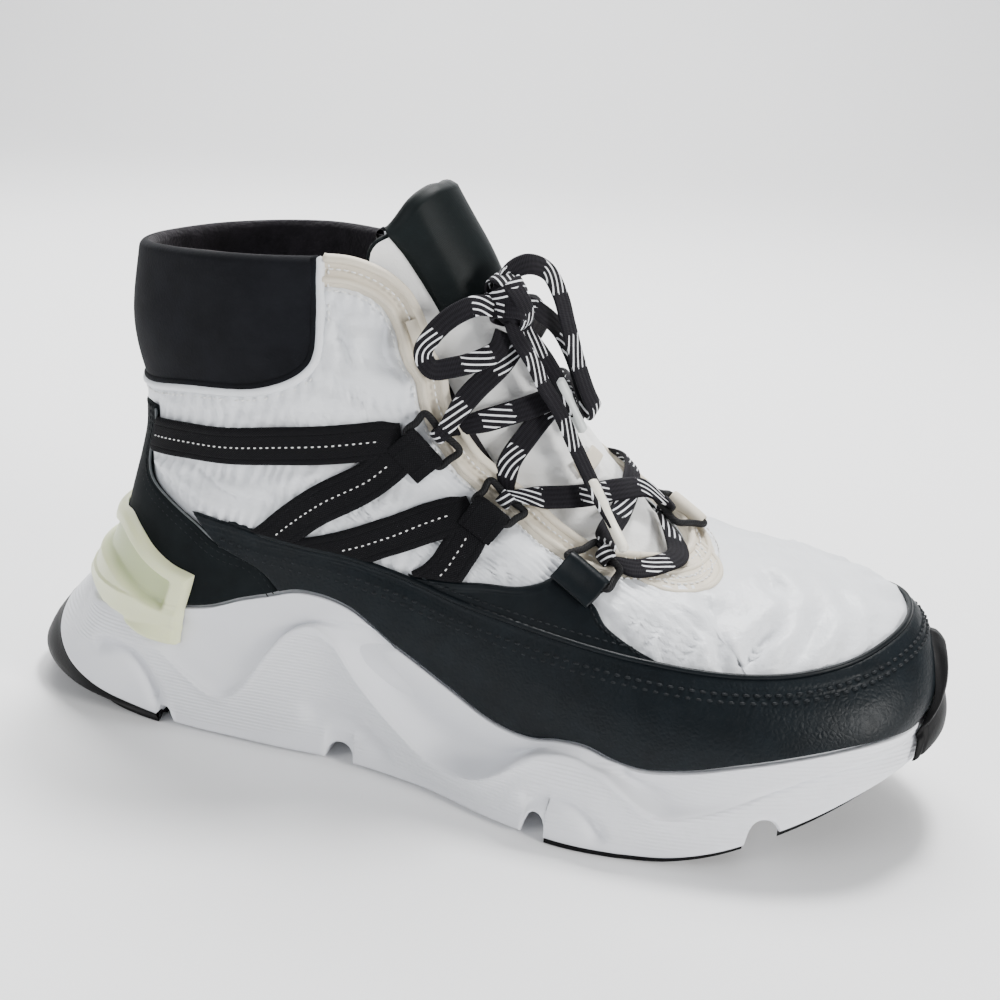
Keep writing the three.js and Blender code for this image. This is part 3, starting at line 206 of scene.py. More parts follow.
def last_normal(s, t):
    s, t = np.asarray(s, float), np.asarray(t, float)
    return unit(np.cross(last(s + .006, t) - last(s - .006, t), last(s, np.clip(t + .012, 0, 1)) - last(s, np.clip(t - .012, 0, 1))))


def skin(s, t, h=0.0):
    return last(s, t) + last_normal(s, t) * np.asarray(h, float)[..., None]


def skin_up(s, t, h):
    """as skin, but running on above the collar for the tongue"""
    s, t, h = np.broadcast_arrays(np.asarray(s, float), np.asarray(t, float), np.asarray(h, float))
    up = unit(last(s, 1.0) - last(s, .93))
    return skin(s, np.minimum(t, 1), h) + up * (np.maximum(t - 1, 0) * 150)[..., None]


def wall_at(t):
    return 2.2 + .8 * smooth((t - .5) / .4)


def outline(s):
    s = np.mod(np.asarray(s, float), 1.0)
    lat = s <= .5
    q = (1 - np.cos(np.pi * np.where(lat, s * 2, (1 - s) * 2))) / 2
    x = SOLE_BACK + SOLE_LENGTH * q
    w = np.where(lat, read(PLAN, x, 1), read(PLAN, x, 2)) * capped(q / .15, 2.0) * capped((1 - q) / .27, 2.25)
    return np.stack([x, 4 * np.maximum(0, (q - .6) / .4)**2 + np.where(lat, -w, w), 0 * x], -1)


def outline_normal(s):
    d = outline(np.asarray(s) + .004) - outline(np.asarray(s) - .004)
    return unit(np.stack([d[..., 1], -d[..., 0], 0 * d[..., 0]], -1))


def tread(x):
    return np.maximum(0, read(TREAD, x))


def side(s, z, inset=0.0):
    s, z = np.broadcast_arrays(np.asarray(s, float), np.asarray(z, float))
    o = outline(s)
    x = o[..., 0]
    zb, zc, out = tread(x), read(CREST, x, 1), read(CREST, x, 2)
    f = np.clip((z - zb) / np.maximum(2, zc - zb), 0, 1)
    rise = .2 + .14 * (1 - smooth((fold(s) - .05) / .09))
    low = -read(TREAD_INSET, fold(s)) * (1 - smooth(f / rise))**1.5
    off = low + out * herm([0, .25, .5, .75, 1], [0, .03, .24, .6, 1], f) - np.where(f > .93, .7 * (f - .93) / .07, 0) - inset
    p = o + outline_normal(s) * off[..., None]
    p[..., 2] = z
    return p


def side_on(s, up, inset=0.0):
    p = side(s, tread(outline(s)[..., 0]) + up, inset)
    for _ in range(4):
        p = side(s, tread(p[..., 0]) + up, inset)
    return p


def find_rim(s):
    lo, hi = np.zeros_like(s), np.full_like(s, .5)
    for _ in range(30):
        m = (lo + hi) / 2
        p = last(s, m)
        below = p[..., 2] < read(RIM_LINE, p[..., 0])
        lo, hi = np.where(below, m, lo), np.where(below, hi, m)
    return (lo + hi) / 2


RIM_S = np.linspace(0, .5, 1501)
RIM_T = find_rim(RIM_S)


def rim_t(s):
    return np.interp(fold(s), RIM_S, RIM_T)


def has_outsole(x):
    return (x < 50.5) | (x > 183.6)


def bumper_top(s):
    return np.maximum(read(BUMPER_TOP, fold(s)), tread(outline(s)[..., 0]) + OUTSOLE)


def midsole_section(s):
    """the midsole's section at each s, twelve points from the tread's edge to the footbed"""
    o, n = outline(s), outline_normal(s)
    x = o[:, 0]
    rt = rim_t(s)
    rim = skin(s, rt, GAP + RIM)
    roof = np.full(len(s), np.nan)
    for a, b, r in NOTCHES:
        foot = tread(x[(x > a) & (x < b)]) + 1.2
        roof[(x > a) & (x < b)] = foot + (r - foot) * np.sqrt(np.maximum(0, 1 - np.abs((x[(x > a) & (x < b)] - (a + b) / 2) / ((b - a) / 2))**2.4))
    behind = fold(s) < .148
    inset = np.where(behind, BUMPER + 1.1, 1.4)
    low = np.where(x > 183, np.where(x > 249, 1.9, 1.1), OUTSOLE + GAP)
    z0 = np.where(np.isnan(roof), np.where(has_outsole(x), side_on(s, low, inset)[:, 2], 1.0), roof)
    z1 = np.where(behind, np.maximum(bumper_top(s) + GAP, z0 + .4), z0 + .5)
    z2 = np.where(behind, z1 + .15, z0 + 1.3)
    zc = np.minimum(read(CREST, x, 1), rim[:, 2] - 1.5)
    crest = side(s, zc, 0.0)
    inmost = skin(s, rt * .8, GAP + RIM)
    reach = lambda q: (q * n).sum(-1)
    step = read(CREST, x, 3)

    def above(f, deep):
        p = crest + (rim - crest) * f - n * (step * deep)[:, None]
        return p + n * np.maximum(reach(inmost) - reach(p), 0)[:, None]
    foot = skin(s, 0 * s, GAP)
    foot[:, 2] = last(s, 0)[:, 2] - GAP
    return np.stack([side(s, z0, inset), side(s, z1, np.where(behind, inset, .5)), side(s, z2, 0.0), side(s, z2 + (zc - z2) * .45), side(s, z2 + (zc - z2) * .85),
                     crest, above(.22, .85), above(.6, .5), rim, skin(s, rt, GAP), skin(s, rt * .5, GAP), foot], 1)


def midsole_face(s, z):
    """outer face of the midsole at height z, s and z of the same shape (columns of one s)"""
    out = np.zeros(s.shape + (3,))
    every = midsole_section(s[:, 0])
    for i in range(s.shape[0]):
        sec = every[i][2:9]
        zz = np.maximum.accumulate(sec[:, 2])
        out[i] = np.stack([np.interp(z[i], zz, sec[:, 0]), np.interp(z[i], zz, sec[:, 1]), z[i]], -1)
    return out


def height_t(s, z):
    lo, hi = np.zeros_like(z), np.full_like(z, .6)
    for _ in range(30):
        m = (lo + hi) / 2
        below = last(s, m)[..., 2] < z
        lo, hi = np.where(below, m, lo), np.where(below, hi, m)
    return (lo + hi) / 2


def covered_face(s, z, overlay):
    """outermost of the midsole and of the overlay on the upper, at height z"""
    n, t = outline_normal(s), height_t(s, z)
    p, m = skin(s, t, overlay), midsole_face(s, z)
    rimz = last(s, rim_t(s))[..., 2]
    p[..., 2] = z
    more = ((m - p) * n).sum(-1)
    return p + n * np.where((z < rimz + 1.5) & (more > 0), more, 0)[..., None]


# ------------------------------------------------------------------ noise
def lattice(i, j, k, seed):
    v = (i.astype(np.uint32) * np.uint32(374761393) + j.astype(np.uint32) * np.uint32(668265263)
         + k.astype(np.uint32) * np.uint32(2246822519) + np.uint32(seed * 3266489917 % 4294967296))
    v = (v ^ (v >> np.uint32(13))) * np.uint32(1274126177)
    return ((v ^ (v >> np.uint32(16))) & np.uint32(0xFFFFFF)).astype(float) / 0xFFFFFF * 2 - 1


def noise(p, seed=1):
    """smooth value noise of points, about -1 to 1, cells of size 1"""
    p = np.asarray(p, float) + 500.0
    b = np.floor(p)
    f = p - b
    f = f * f * f * (f * (f * 6 - 15) + 10)
    b = b.astype(np.int64)
    out = 0
    for dx in (0, 1):
        for dy in (0, 1):
            for dz in (0, 1):
                w = (f[..., 0] if dx else 1 - f[..., 0]) * (f[..., 1] if dy else 1 - f[..., 1]) * (f[..., 2] if dz else 1 - f[..., 2])
                out = out + w * lattice(b[..., 0] + dx, b[..., 1] + dy, b[..., 2] + dz, seed)
    return out


def fbm(p, octaves=3, seed=1):
    return sum(noise(np.asarray(p) * 2**k, seed + 7 * k) * .55**k for k in range(octaves))


def folds(a, b, long, short, seed, warp=.35):
    """soft ridges that run along a and repeat along b, lengths in mm"""
    w = noise(np.stack([a / long, b / long, 0 * a], -1), seed + 3) * warp * 2
    n = noise(np.stack([a / long, b / short + w, 0 * a + seed], -1), seed)
    return 1 - 2 * np.abs(n)


# ------------------------------------------------------------------ mesh helpers
def finish_mesh(name, me, mat, sharp=None):
    me.materials.append(mat)
    ob = bpy.data.objects.new(name, me)
    bpy.context.scene.collection.objects.link(ob)
    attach(ob, "root")
    return ob


def quads(name, P, F, mat, uv=None, attrs=None):
    P = place(np.asarray(P, float).reshape(-1, 3))
    F = np.asarray(F, int).reshape(-1, 4)
    me = bpy.data.meshes.new(name)
    me.vertices.add(len(P))
    me.vertices.foreach_set("co", P.astype(np.float32).ravel())
    me.loops.add(F.size)
    me.loops.foreach_set("vertex_index", F.astype(np.int32).ravel())
    me.polygons.add(len(F))
    me.polygons.foreach_set("loop_start", np.arange(0, F.size, 4, dtype=np.int32))
    me.polygons.foreach_set("use_smooth", np.ones(len(F), bool))
    me.update(calc_edges=True)
    if uv is not None:
        layer = me.uv_layers.new(name="UVMap")
        layer.data.foreach_set("uv", np.asarray(uv, float).reshape(-1, 2)[F.ravel()].astype(np.float32).ravel())
    for key, v in (attrs or {}).items():
        me.attributes.new(key, "FLOAT", "POINT").data.foreach_set("value", np.asarray(v, float).ravel().astype(np.float32))
    me.validate()
    return finish_mesh(name, me, mat)


def grid_faces(nu, nv, ringed=False, base=0, flip=False):
    cols = nu if ringed else nu + 1
    I, J = np.meshgrid(np.arange(nu), np.arange(nv), indexing="ij")
    K = (I + 1) % cols
    f = np.stack([I * (nv + 1) + J, K * (nv + 1) + J, K * (nv + 1) + J + 1, I * (nv + 1) + J + 1], -1).reshape(-1, 4) + base
    return f[:, ::-1] if flip else f


class Parts:
    """several grids gathered into one object"""
    def __init__(self):
        self.P, self.F, self.U, self.n = [], [], [], 0
        self.A = []

    def grid(self, P, ringed=False, flip=False, uv=None, attr=None):
        nu, nv = P.shape[0] - (0 if ringed else 1), P.shape[1] - 1
        self.F.append(grid_faces(nu, nv, ringed, self.n, flip))
        self.P.append(P.reshape(-1, 3))
        self.U.append(np.zeros((P.shape[0] * P.shape[1], 2)) if uv is None else uv.reshape(-1, 2))
        self.A.append(np.zeros(P.shape[0] * P.shape[1]) if attr is None else np.broadcast_to(attr, P.shape[:2]).reshape(-1))
        self.n += P.shape[0] * P.shape[1]

    def make(self, name, mat, slot):
        return quads(name, np.concatenate(self.P), np.concatenate(self.F), mat, np.concatenate(self.U), {"mask": np.concatenate(self.A)})


def edge_distances(P):
    """distance in mm of each grid point to the edges u=0, u=1, v=0, v=1, along the grid"""
    du = np.concatenate([np.zeros((1, P.shape[1])), np.cumsum(np.linalg.norm(np.diff(P, axis=0), axis=-1), 0)])
    dv = np.concatenate([np.zeros((P.shape[0], 1)), np.cumsum(np.linalg.norm(np.diff(P, axis=1), axis=-1), 1)], 1)
    return du, du[-1:] - du, dv, dv[:, -1:] - dv


def crowd(n, ends=2.2, both=True):
    """0 to 1 in n steps, closer together near the ends"""
    u = np.linspace(0, 1, n + 1)
    k = np.sin(np.pi * (u - .5)) * .5 + .5 if both else 1 - np.cos(np.pi * u / 2)
    return u + (k - u) * min(1, ends / 3)


def panel(parts, S, Tt, base, top, radius=1.3, extra=None, edges=(1, 1, 1, 1), attr=None):
    """a raised panel on the skin with rounded edges that turn down to base"""
    P0 = skin(S, Tt, base)
    d = edge_distances(P0)
    e = np.full(S.shape, 1e9)
    for k in range(4):
        if edges[k]:
            e = np.minimum(e, d[k])
    h = base + (top - base) * dome(e, radius)
    if extra is not None:
        h = h + extra(P0, e, d) * smooth(e / radius)
    P = skin(S, Tt, h)
    uv = np.stack([d[0], d[2]], -1)
    parts.grid(P, uv=uv, attr=attr)
    return P, h


def resample(P, pitch, closed=False):
    P = np.asarray(P, float)
    if closed:
        P = np.concatenate([P, P[:1]])
    d = np.concatenate([[0], np.cumsum(np.linalg.norm(np.diff(P, axis=0), axis=-1))])
    n = max(2, int(round(d[-1] / pitch)))
    x = np.linspace(0, d[-1], n + 1)
    out = np.stack([np.interp(x, d, P[:, k]) for k in range(P.shape[1])], -1)
    return (out[:-1] if closed else out), d[-1]


def catmull(P, per=8, closed=False):
    """centripetal Catmull-Rom curve through the points"""
    P = np.asarray(P, float)
    Q = np.concatenate([P[-1:], P, P[:2]]) if closed else np.concatenate([2 * P[:1] - P[1:2], P, 2 * P[-1:] - P[-2:-1]])
    out = []
    for i in range(1, len(Q) - 2):
        p0, p1, p2, p3 = Q[i - 1:i + 3]
        a, b, c = (max(np.linalg.norm(v[:3]), 1e-6)**.5 for v in (p1 - p0, p2 - p1, p3 - p2))
        m1 = ((p1 - p0) / a - (p2 - p0) / (a + b) + (p2 - p1) / b) * b
        m2 = ((p2 - p1) / b - (p3 - p1) / (b + c) + (p3 - p2) / c) * b
        for k in range(per):
            u = k / per
            out.append((2*u**3 - 3*u**2 + 1)*p1 + (u**3 - 2*u**2 + u)*m1 + (-2*u**3 + 3*u**2)*p2 + (u**3 - u**2)*m2)
    if not closed:
        out.append(P[-1])
    return np.array(out)


def tangents(P, closed=False):
    if closed:
        return unit(np.roll(P, -1, 0) - np.roll(P, 1, 0))
    return unit(np.gradient(P, axis=0))


def tube(parts, P, N, radius, sides=8, closed=False, flat=1.0, ends=True, attr=0.0):
    """round cord along P; N is roughly the surface's normal; flat scales its height"""
    P = np.asarray(P, float)
    D = tangents(P, closed)
    W = unit(np.cross(N, D))
    M = np.cross(D, W)
    r = np.broadcast_to(np.asarray(radius, float), (len(P),)).copy()
    if ends and not closed:
        P = np.concatenate([P[:1] - D[:1] * r[0] * .5, P, P[-1:] + D[-1:] * r[-1] * .5])
        W, M = (np.concatenate([v[:1], v, v[-1:]]) for v in (W, M))
        r = np.concatenate([[r[0] * .05], r, [r[-1] * .05]])
    a = 2 * np.pi * np.arange(sides + 1) / sides
    G = P[:, None] + W[:, None] * (r[:, None] * np.cos(a))[..., None] + M[:, None] * (r[:, None] * flat * np.sin(a))[..., None]
    run = np.concatenate([[0], np.cumsum(np.linalg.norm(np.diff(P, axis=0), axis=-1))])
    uv = np.stack(np.broadcast_arrays(a[None] / (2 * np.pi), run[:, None]), -1)
    if closed:
        parts.grid(np.concatenate([G, G[:1]]), flip=True, uv=np.concatenate([uv, uv[-1:]]), attr=attr)
    else:
        parts.grid(G, flip=True, uv=uv, attr=attr)


def stitches(parts, P, N, pitch, length, radius, lift=0.0, slant=0.0):
    """a row of short threads along P, each a small rounded bar"""
    Q, _ = resample(np.concatenate([P, N], 1), pitch)
    p, n = Q[:, :3], unit(Q[:, 3:])
    d = tangents(p)
    w = unit(np.cross(n, d))
    d = unit(d + w * slant)
    w = unit(np.cross(n, d))
    u = np.array([-.5, -.42, -.2, .2, .42, .5]) * length
    r = np.array([.15, .75, 1, 1, .75, .15]) * radius
    z = np.array([-.7, -.1, .45, .45, -.1, -.7]) * radius + lift
    a = 2 * np.pi * np.arange(6) / 5
    G = (p[:, None, None] + d[:, None, None] * u[None, :, None, None] + n[:, None, None] * z[None, :, None, None]
         + w[:, None, None] * (r[:, None] * np.cos(a))[None, ..., None] + n[:, None, None] * (r[:, None] * np.sin(a))[None, ..., None])
    for g in G:
        parts.grid(g, flip=True)


def ribbon(parts, P, W, M, width, thick, n_across=10, flat_ends=True, attr=0.0):
    """flat woven band: P centres, W width directions, M face normals"""
    width = np.broadcast_to(np.asarray(width, float), (len(P),))
    thick = np.broadcast_to(np.asarray(thick, float), (len(P),))
    a = np.linspace(0, 2 * np.pi, 2 * n_across + 1)
    cx = np.sign(np.cos(a)) * np.abs(np.cos(a))**.45
    cy = np.sign(np.sin(a)) * np.abs(np.sin(a))**.75
    G = P[:, None] + W[:, None] * (width[:, None] / 2 * cx)[..., None] + M[:, None] * (thick[:, None] / 2 * cy)[..., None]
    run = np.concatenate([[0], np.cumsum(np.linalg.norm(np.diff(P, axis=0), axis=-1))])
    uv = np.stack(np.broadcast_arrays(cx[None] * width[:, None] / 2, run[:, None]), -1)
    if flat_ends:
        G = np.concatenate([P[:1, None] + 0 * G[:1], G, P[-1:, None] + 0 * G[-1:]])
        uv = np.concatenate([uv[:1], uv, uv[-1:]])
    parts.grid(G, flip=True, uv=uv, attr=attr)


def nearest(P, Q):
    """distance in mm of points P (n,3) to the nearest of Q (m,3)"""
    out = np.empty(len(P), np.float32)
    Q = Q.astype(np.float32)
    q2 = (Q * Q).sum(1)
    for i in range(0, len(P), 20000):
        p = P[i:i + 20000].astype(np.float32)
        out[i:i + 20000] = np.sqrt(np.maximum((p * p).sum(1)[:, None] + q2[None] - 2 * p @ Q.T, 0).min(1))
    return out


# ------------------------------------------------------------------ materials
class Node:
    """a shader socket with arithmetic"""
    def __init__(self, nt, socket):
        self.nt, self.s = nt, socket

    def op(self, kind, *others, clamp=False):
        n = self.nt.nodes.new("ShaderNodeMath")
        n.operation, n.use_clamp = kind, clamp
        for i, v in enumerate((self,) + others):
            if isinstance(v, Node):
                self.nt.links.new(v.s, n.inputs[i])
            else:
                n.inputs[i].default_value = v
        return Node(self.nt, n.outputs[0])

    def __add__(self, o): return self.op("ADD", o)
    def __sub__(self, o): return self.op("SUBTRACT", o)
    def __mul__(self, o): return self.op("MULTIPLY", o)
    def __truediv__(self, o): return self.op("DIVIDE", o)
    def less(self, o): return self.op("LESS_THAN", o)
    def more(self, o): return self.op("GREATER_THAN", o)
    def fract(self): return self.op("FRACT")
    def sin(self): return self.op("SINE")
    def abs(self): return self.op("ABSOLUTE")
    def clamp(self): return self.op("ADD", 0.0, clamp=True)


class Look:
    """one procedural material built around a Principled shader"""
    def __init__(self, name, colour, rough, spec=.5, sheen=0.0, sheen_rough=.4, coat=0.0, coat_rough=.2, metal=0.0, sss=0.0, sss_radius=(.01, .01, .01), transmission=0.0):
        self.m = bpy.data.materials.new(name)
        self.m.use_nodes = True
        self.nt = self.m.node_tree
        self.b = self.nt.nodes["Principled BSDF"]
        self.colour = colour
        self.set("Base Color", (*colour, 1))
        for key, v in (("Roughness", rough), ("Specular IOR Level", spec), ("Sheen Weight", sheen), ("Sheen Roughness", sheen_rough), ("Coat Weight", coat), ("Coat Roughness", coat_rough),
                       ("Metallic", metal), ("Subsurface Weight", sss), ("Transmission Weight", transmission)):
            self.set(key, v)
        if sss:
            self.set("Subsurface Radius", sss_radius)
        geo = self.nt.nodes.new("ShaderNodeTexCoord")
        self.pos = geo.outputs["Object"]
        self.heights = []

    def set(self, key, v):
        if key in self.b.inputs:
            self.b.inputs[key].default_value = v

    def noise(self, size, detail=2.0, stretch=(1, 1, 1), rough=.5):
        mp = self.nt.nodes.new("ShaderNodeMapping")
        mp.inputs["Scale"].default_value = stretch
        self.nt.links.new(self.pos, mp.inputs["Vector"])
        n = self.nt.nodes.new("ShaderNodeTexNoise")
        n.inputs["Scale"].default_value = 1000.0 / size
        n.inputs["Detail"].default_value = detail
        n.inputs["Roughness"].default_value = rough
        self.nt.links.new(mp.outputs[0], n.inputs["Vector"])
        return Node(self.nt, n.outputs[0])

    def cells(self, size, feature="DISTANCE_TO_EDGE"):
        n = self.nt.nodes.new("ShaderNodeTexVoronoi")
        n.feature = feature
        n.inputs["Scale"].default_value = 1000.0 / size
        self.nt.links.new(self.pos, n.inputs["Vector"])
        return Node(self.nt, n.outputs["Distance"])

    def uv(self):
        n = self.nt.nodes.new("ShaderNodeUVMap")
        n.uv_map = "UVMap"
        x = self.nt.nodes.new("ShaderNodeSeparateXYZ")
        self.nt.links.new(n.outputs[0], x.inputs[0])
        return Node(self.nt, x.outputs[0]), Node(self.nt, x.outputs[1])

    def xyz(self):
        x = self.nt.nodes.new("ShaderNodeSeparateXYZ")
        self.nt.links.new(self.pos, x.inputs[0])
        return [Node(self.nt, x.outputs[i]) * 1000.0 for i in range(3)]

    def mask(self):
        n = self.nt.nodes.new("ShaderNodeAttribute")
        n.attribute_name = "mask"
        return Node(self.nt, n.outputs["Fac"])

    def mix(self, fac, a, b):
        n = self.nt.nodes.new("ShaderNodeMix")
        n.data_type = "RGBA"
        self.nt.links.new(fac.s, n.inputs[0])
        for i, v in ((6, a), (7, b)):
            if isinstance(v, Node):
                self.nt.links.new(v.s, n.inputs[i])
            else:
                n.inputs[i].default_value = (*v, 1)
        return Node(self.nt, n.outputs[2])

    def paint(self, colour):
        self.nt.links.new(colour.s, self.b.inputs["Base Color"])
        return self

    def vary(self, size=18.0, amount=.08, base=None, detail=3.0):
        """slightly darker and lighter patches"""
        c = self.colour if base is None else base
        n = self.noise(size, detail)
        lo, hi = tuple(v * (1 - amount) for v in c), tuple(min(1, v * (1 + amount)) for v in c)
        return self.mix(((n - .5) * 2.2 + .5).clamp(), lo, hi)

    def roughness(self, node):
        self.nt.links.new(node.s, self.b.inputs["Roughness"])
        return self

    def bump(self, *terms, strength=1.0):
        """terms are (height node 0 to 1, depth in mm)"""
        total = None
        for node, mm in terms:
            h = node * mm
            total = h if total is None else total + h
        n = self.nt.nodes.new("ShaderNodeBump")
        n.inputs["Distance"].default_value = MM
        n.inputs["Strength"].default_value = strength
        self.nt.links.new(total.s, n.inputs["Height"])
        self.nt.links.new(n.outputs[0], self.b.inputs["Normal"])
        return self


def looks():
    L = {}
    k = Look("nylon_white", (.74, .76, .79), .38, spec=.4, sheen=.05, sheen_rough=.35)
    k.paint(k.vary(30, .035)).bump((k.noise(.5, 1), .05), (k.noise(2.6, 3, (1, 1, 1.6)), .22), (k.noise(7, 2, (1, 1, 2.2)), .35))
    L["nylon"] = k.m
    # painted light: the tongue's nylon is whiter than the quarter's, standing in for the light that the laces and
    # eyestay shade off it
    k = Look("nylon_tongue_painted_light", (.90, .90, .89), .45, spec=.4, sheen=.2, sheen_rough=.35)
    k.paint(k.vary(24, .05)).bump((k.noise(.5, 1), .05), (k.noise(3, 3, (1, 1, 1.8)), .3))
    L["tongue"] = k.m
    k = Look("knit_black", (.0055, .006, .008), .8, spec=.07, sheen=.03, sheen_rough=.6)
    k.paint(k.vary(9, .25)).bump((k.noise(.7, 2), .12), (k.noise(14, 2), .25))
    L["collar"] = k.m
    k = Look("fleece_black", (.014, .012, .015), .95, spec=.05, sheen=.08, sheen_rough=.7)
    k.paint(k.vary(5, .4)).bump((k.noise(1.3, 3), .55), (k.noise(5, 2), .5))
    L["fleece"] = k.m
    k = Look("nubuck_black", (.006, .008, .009), .85, spec=.07, sheen=.03, sheen_rough=.5)
    k.paint(k.vary(12, .3)).bump((k.noise(.45, 2), .06), (k.noise(6, 2), .08))
    L["nubuck"] = k.m
    k = Look("leather_black", (.0036, .006, .008), .42, spec=.14, coat=.02, coat_rough=.35)
    cell = k.cells(1.5)
    k.paint(k.vary(8, .22)).roughness(k.noise(3, 3) * .22 + .34)
    k.bump(((cell * 1.6).clamp(), .10), (k.noise(.6, 2), .04), (k.noise(2.2, 2), .07), (k.noise(6, 2), .08))
    L["leather"] = k.m
    k = Look("synthetic_cream", (.66, .60, .49), .55, spec=.3, sheen=.05)
    k.paint(k.vary(10, .07)).bump((k.noise(.6, 2), .06), (k.noise(4, 2), .16))
    L["cream"] = k.m
    k = Look("synthetic_pale", (.78, .77, .735), .5, spec=.4, sheen=.15)
    k.paint(k.vary(10, .05)).bump((k.noise(.6, 2), .05), (k.noise(4, 2), .14))
    L["pale"] = k.m
    k = Look("foam_white", (.74, .75, .785), .62, spec=.3, sss=.05, sss_radius=(.002, .002, .002))
    x, y = k.uv()
    lines = (y * (2 * math.pi / 1.25)).sin() * .5 + .5
    k.paint(k.vary(40, .02)).bump((lines * k.mask(), .16), (k.noise(.8, 2), .035), (k.noise(12, 2), .10))
    L["foam"] = k.m
    k = Look("rubber_black", (.0045, .0045, .005), .5, spec=.1)
    k.paint(k.vary(10, .25)).bump((k.noise(.5, 2), .06), (k.noise(3, 2), .06))
    L["rubber"] = k.m
    k = Look("clip_lime_channel_painted_shade", (.70, .735, .44), .38, spec=.45, sss=.45, sss_radius=(.006, .007, .003), coat=.08, coat_rough=.3)
    # painted shade: the channel's mask mixes the lime towards a darker green-grey inside the recess
    deep = k.mask()
    k.paint(k.mix(deep.clamp(), (.735, .765, .49), (.50, .56, .31))).bump((k.noise(.8, 2), .03), (k.noise(6, 2), .05))
    L["clip"] = k.m
    k = Look("webbing_black", (.005, .005, .006), .78, spec=.06, sheen=.02, sheen_rough=.5)
    x, y = k.uv()
    weave = (y * (2 * math.pi / .9)).sin() * (x * (2 * math.pi / .75)).sin() * .5 + .5
    rib = ((x.abs() - 3.6).abs() * -2.2 + 1.0).clamp()
    k.paint(k.mix((weave * .8).clamp(), (.0035, .0035, .004), (.012, .012, .014))).bump((weave, .16), (rib, .22))
    L["webbing"] = k.m
    k = Look("cord_black", (.006, .006, .007), .55, spec=.15, sheen=.03)
    x, y = k.uv()
    twist = ((x * 6.0 + y * 1.1) * (2 * math.pi)).sin() * .5 + .5
    k.paint(k.mix(twist, (.004, .004, .0045), (.012, .012, .013))).bump((twist, .07))
    L["cord"] = k.m
    # flat lace with groups of three slanting pale dashes
    k = Look("lace_black", (.008, .007, .010), .72, spec=.1, sheen=.04, sheen_rough=.5)
    x, y = k.uv()
    cell = (y / 22.0).fract() * 22.0
    slant = x + cell * .36
    line = ((slant / 1.85).fract() - .5).abs().less(.15)
    ragged = k.noise(.9, 1) * 3.0
    inside = ((cell - 6.2).abs() + ragged).less(6.3)
    edge = x.abs().less(2.95)
    dash = line * inside * edge
    weave = (y * (2 * math.pi / .95) + x * 2.2).sin() * (y * (2 * math.pi / .95) - x * 2.2).sin() * .5 + .5
    k.paint(k.mix(dash, k.mix((weave * .7).clamp(), (.004, .0035, .005), (.015, .014, .018)), (.78, .79, .82))).bump((weave, .16), (dash, .10))
    L["lace"] = k.m
    k = Look("film_cream", (.80, .765, .66), .35, spec=.45, coat=.2, coat_rough=.25)
    k.paint(k.vary(6, .05)).bump((k.noise(2, 2), .03))
    L["aglet"] = k.m
    k = Look("film_grey", (.62, .65, .64), .35, spec=.45, coat=.2, coat_rough=.25)
    k.paint(k.vary(6, .05)).bump((k.noise(2, 2), .03))
    L["aglet_grey"] = k.m
    k = Look("thread_white", (.78, .78, .77), .6, spec=.3)
    k.paint(k.vary(3, .1)).bump((k.noise(.4, 1), .05))
    L["thread"] = k.m
    k = Look("thread_dark", (.006, .008, .010), .6, spec=.2)
    k.paint(k.vary(3, .2)).bump((k.noise(.4, 1), .05))
    L["thread_dark"] = k.m
    k = Look("satin_black", (.005, .0075, .008), .48, spec=.12, coat=.0)
    x, y = k.uv()
    k.paint(k.vary(14, .25)).bump(((y * (2 * math.pi / .5)).sin() * .5 + .5, .025), (k.noise(9, 2), .25))
    L["satin"] = k.m
    k = Look("insole_textile", (.02, .02, .022), .9, spec=.08, sheen=.08)
    k.paint(k.vary(8, .2)).bump((k.noise(.8, 2), .2))
    L["insole"] = k.m
    return L


MAT = looks()


# ------------------------------------------------------------------ curves on the skin
def metric(s, t):
    e = 1e-3
    hi, lo = np.clip(t + e, 0, 1), np.clip(t - e, 0, 1)
    return (last(s + e, t) - last(s - e, t)) / (2 * e), (last(s, hi) - last(s, lo)) / (hi - lo)[..., None]


def shift(s, t, d):
    """the (s, t) reached by moving d mm along the skin"""
    s, t = np.asarray(s, float), np.asarray(t, float)
    for _ in range(3):
        a, b = metric(s, np.minimum(t, 1))
        aa, ab, bb, da, db = (a * a).sum(-1), (a * b).sum(-1), (b * b).sum(-1), (a * d).sum(-1) / 3, (b * d).sum(-1) / 3
        det = aa * bb - ab * ab + 1e-9
        s, t = s + (da * bb - db * ab) / det, t + (db * aa - da * ab) / det
    return s, t


def on_skin(st, h=0.0, pitch=1.0, closed=False, flip=False):
    c = catmull(np.array(st, float), 14, closed)
    if flip:
        c[:, 0] = 1 - c[:, 0]
    P = skin_up(c[:, 0], c[:, 1], h)
    Q, _ = resample(np.concatenate([P, c], 1), pitch, closed)
    return Q[:, 3], Q[:, 4]


def lane(s, t, across, h):
    """points along the skin curve (s, t), across mm to its left and h off the skin"""
    P, n = skin_up(s, t, 0 * s), last_normal(s, np.minimum(t, 1))
    W = unit(np.cross(n, tangents(P)))
    s2, t2 = shift(s, t, W * np.broadcast_to(across, s.shape)[:, None])
    return skin_up(s2, t2, h + 0 * s), s2, t2


def strip(parts, s, t, profile, attr=None, flip=False):
    rows = [lane(s, t, x, h)[0] for x, h in profile]
    P = np.stack(rows, 1)
    d = edge_distances(P)
    parts.grid(P, uv=np.stack([d[0], d[2]], -1), attr=attr, flip=flip)
    return P


def normals_of(s, t):
    return last_normal(s, np.minimum(t, 1))


def mirror(st):
    return [(1 - a, b) for a, b in st]


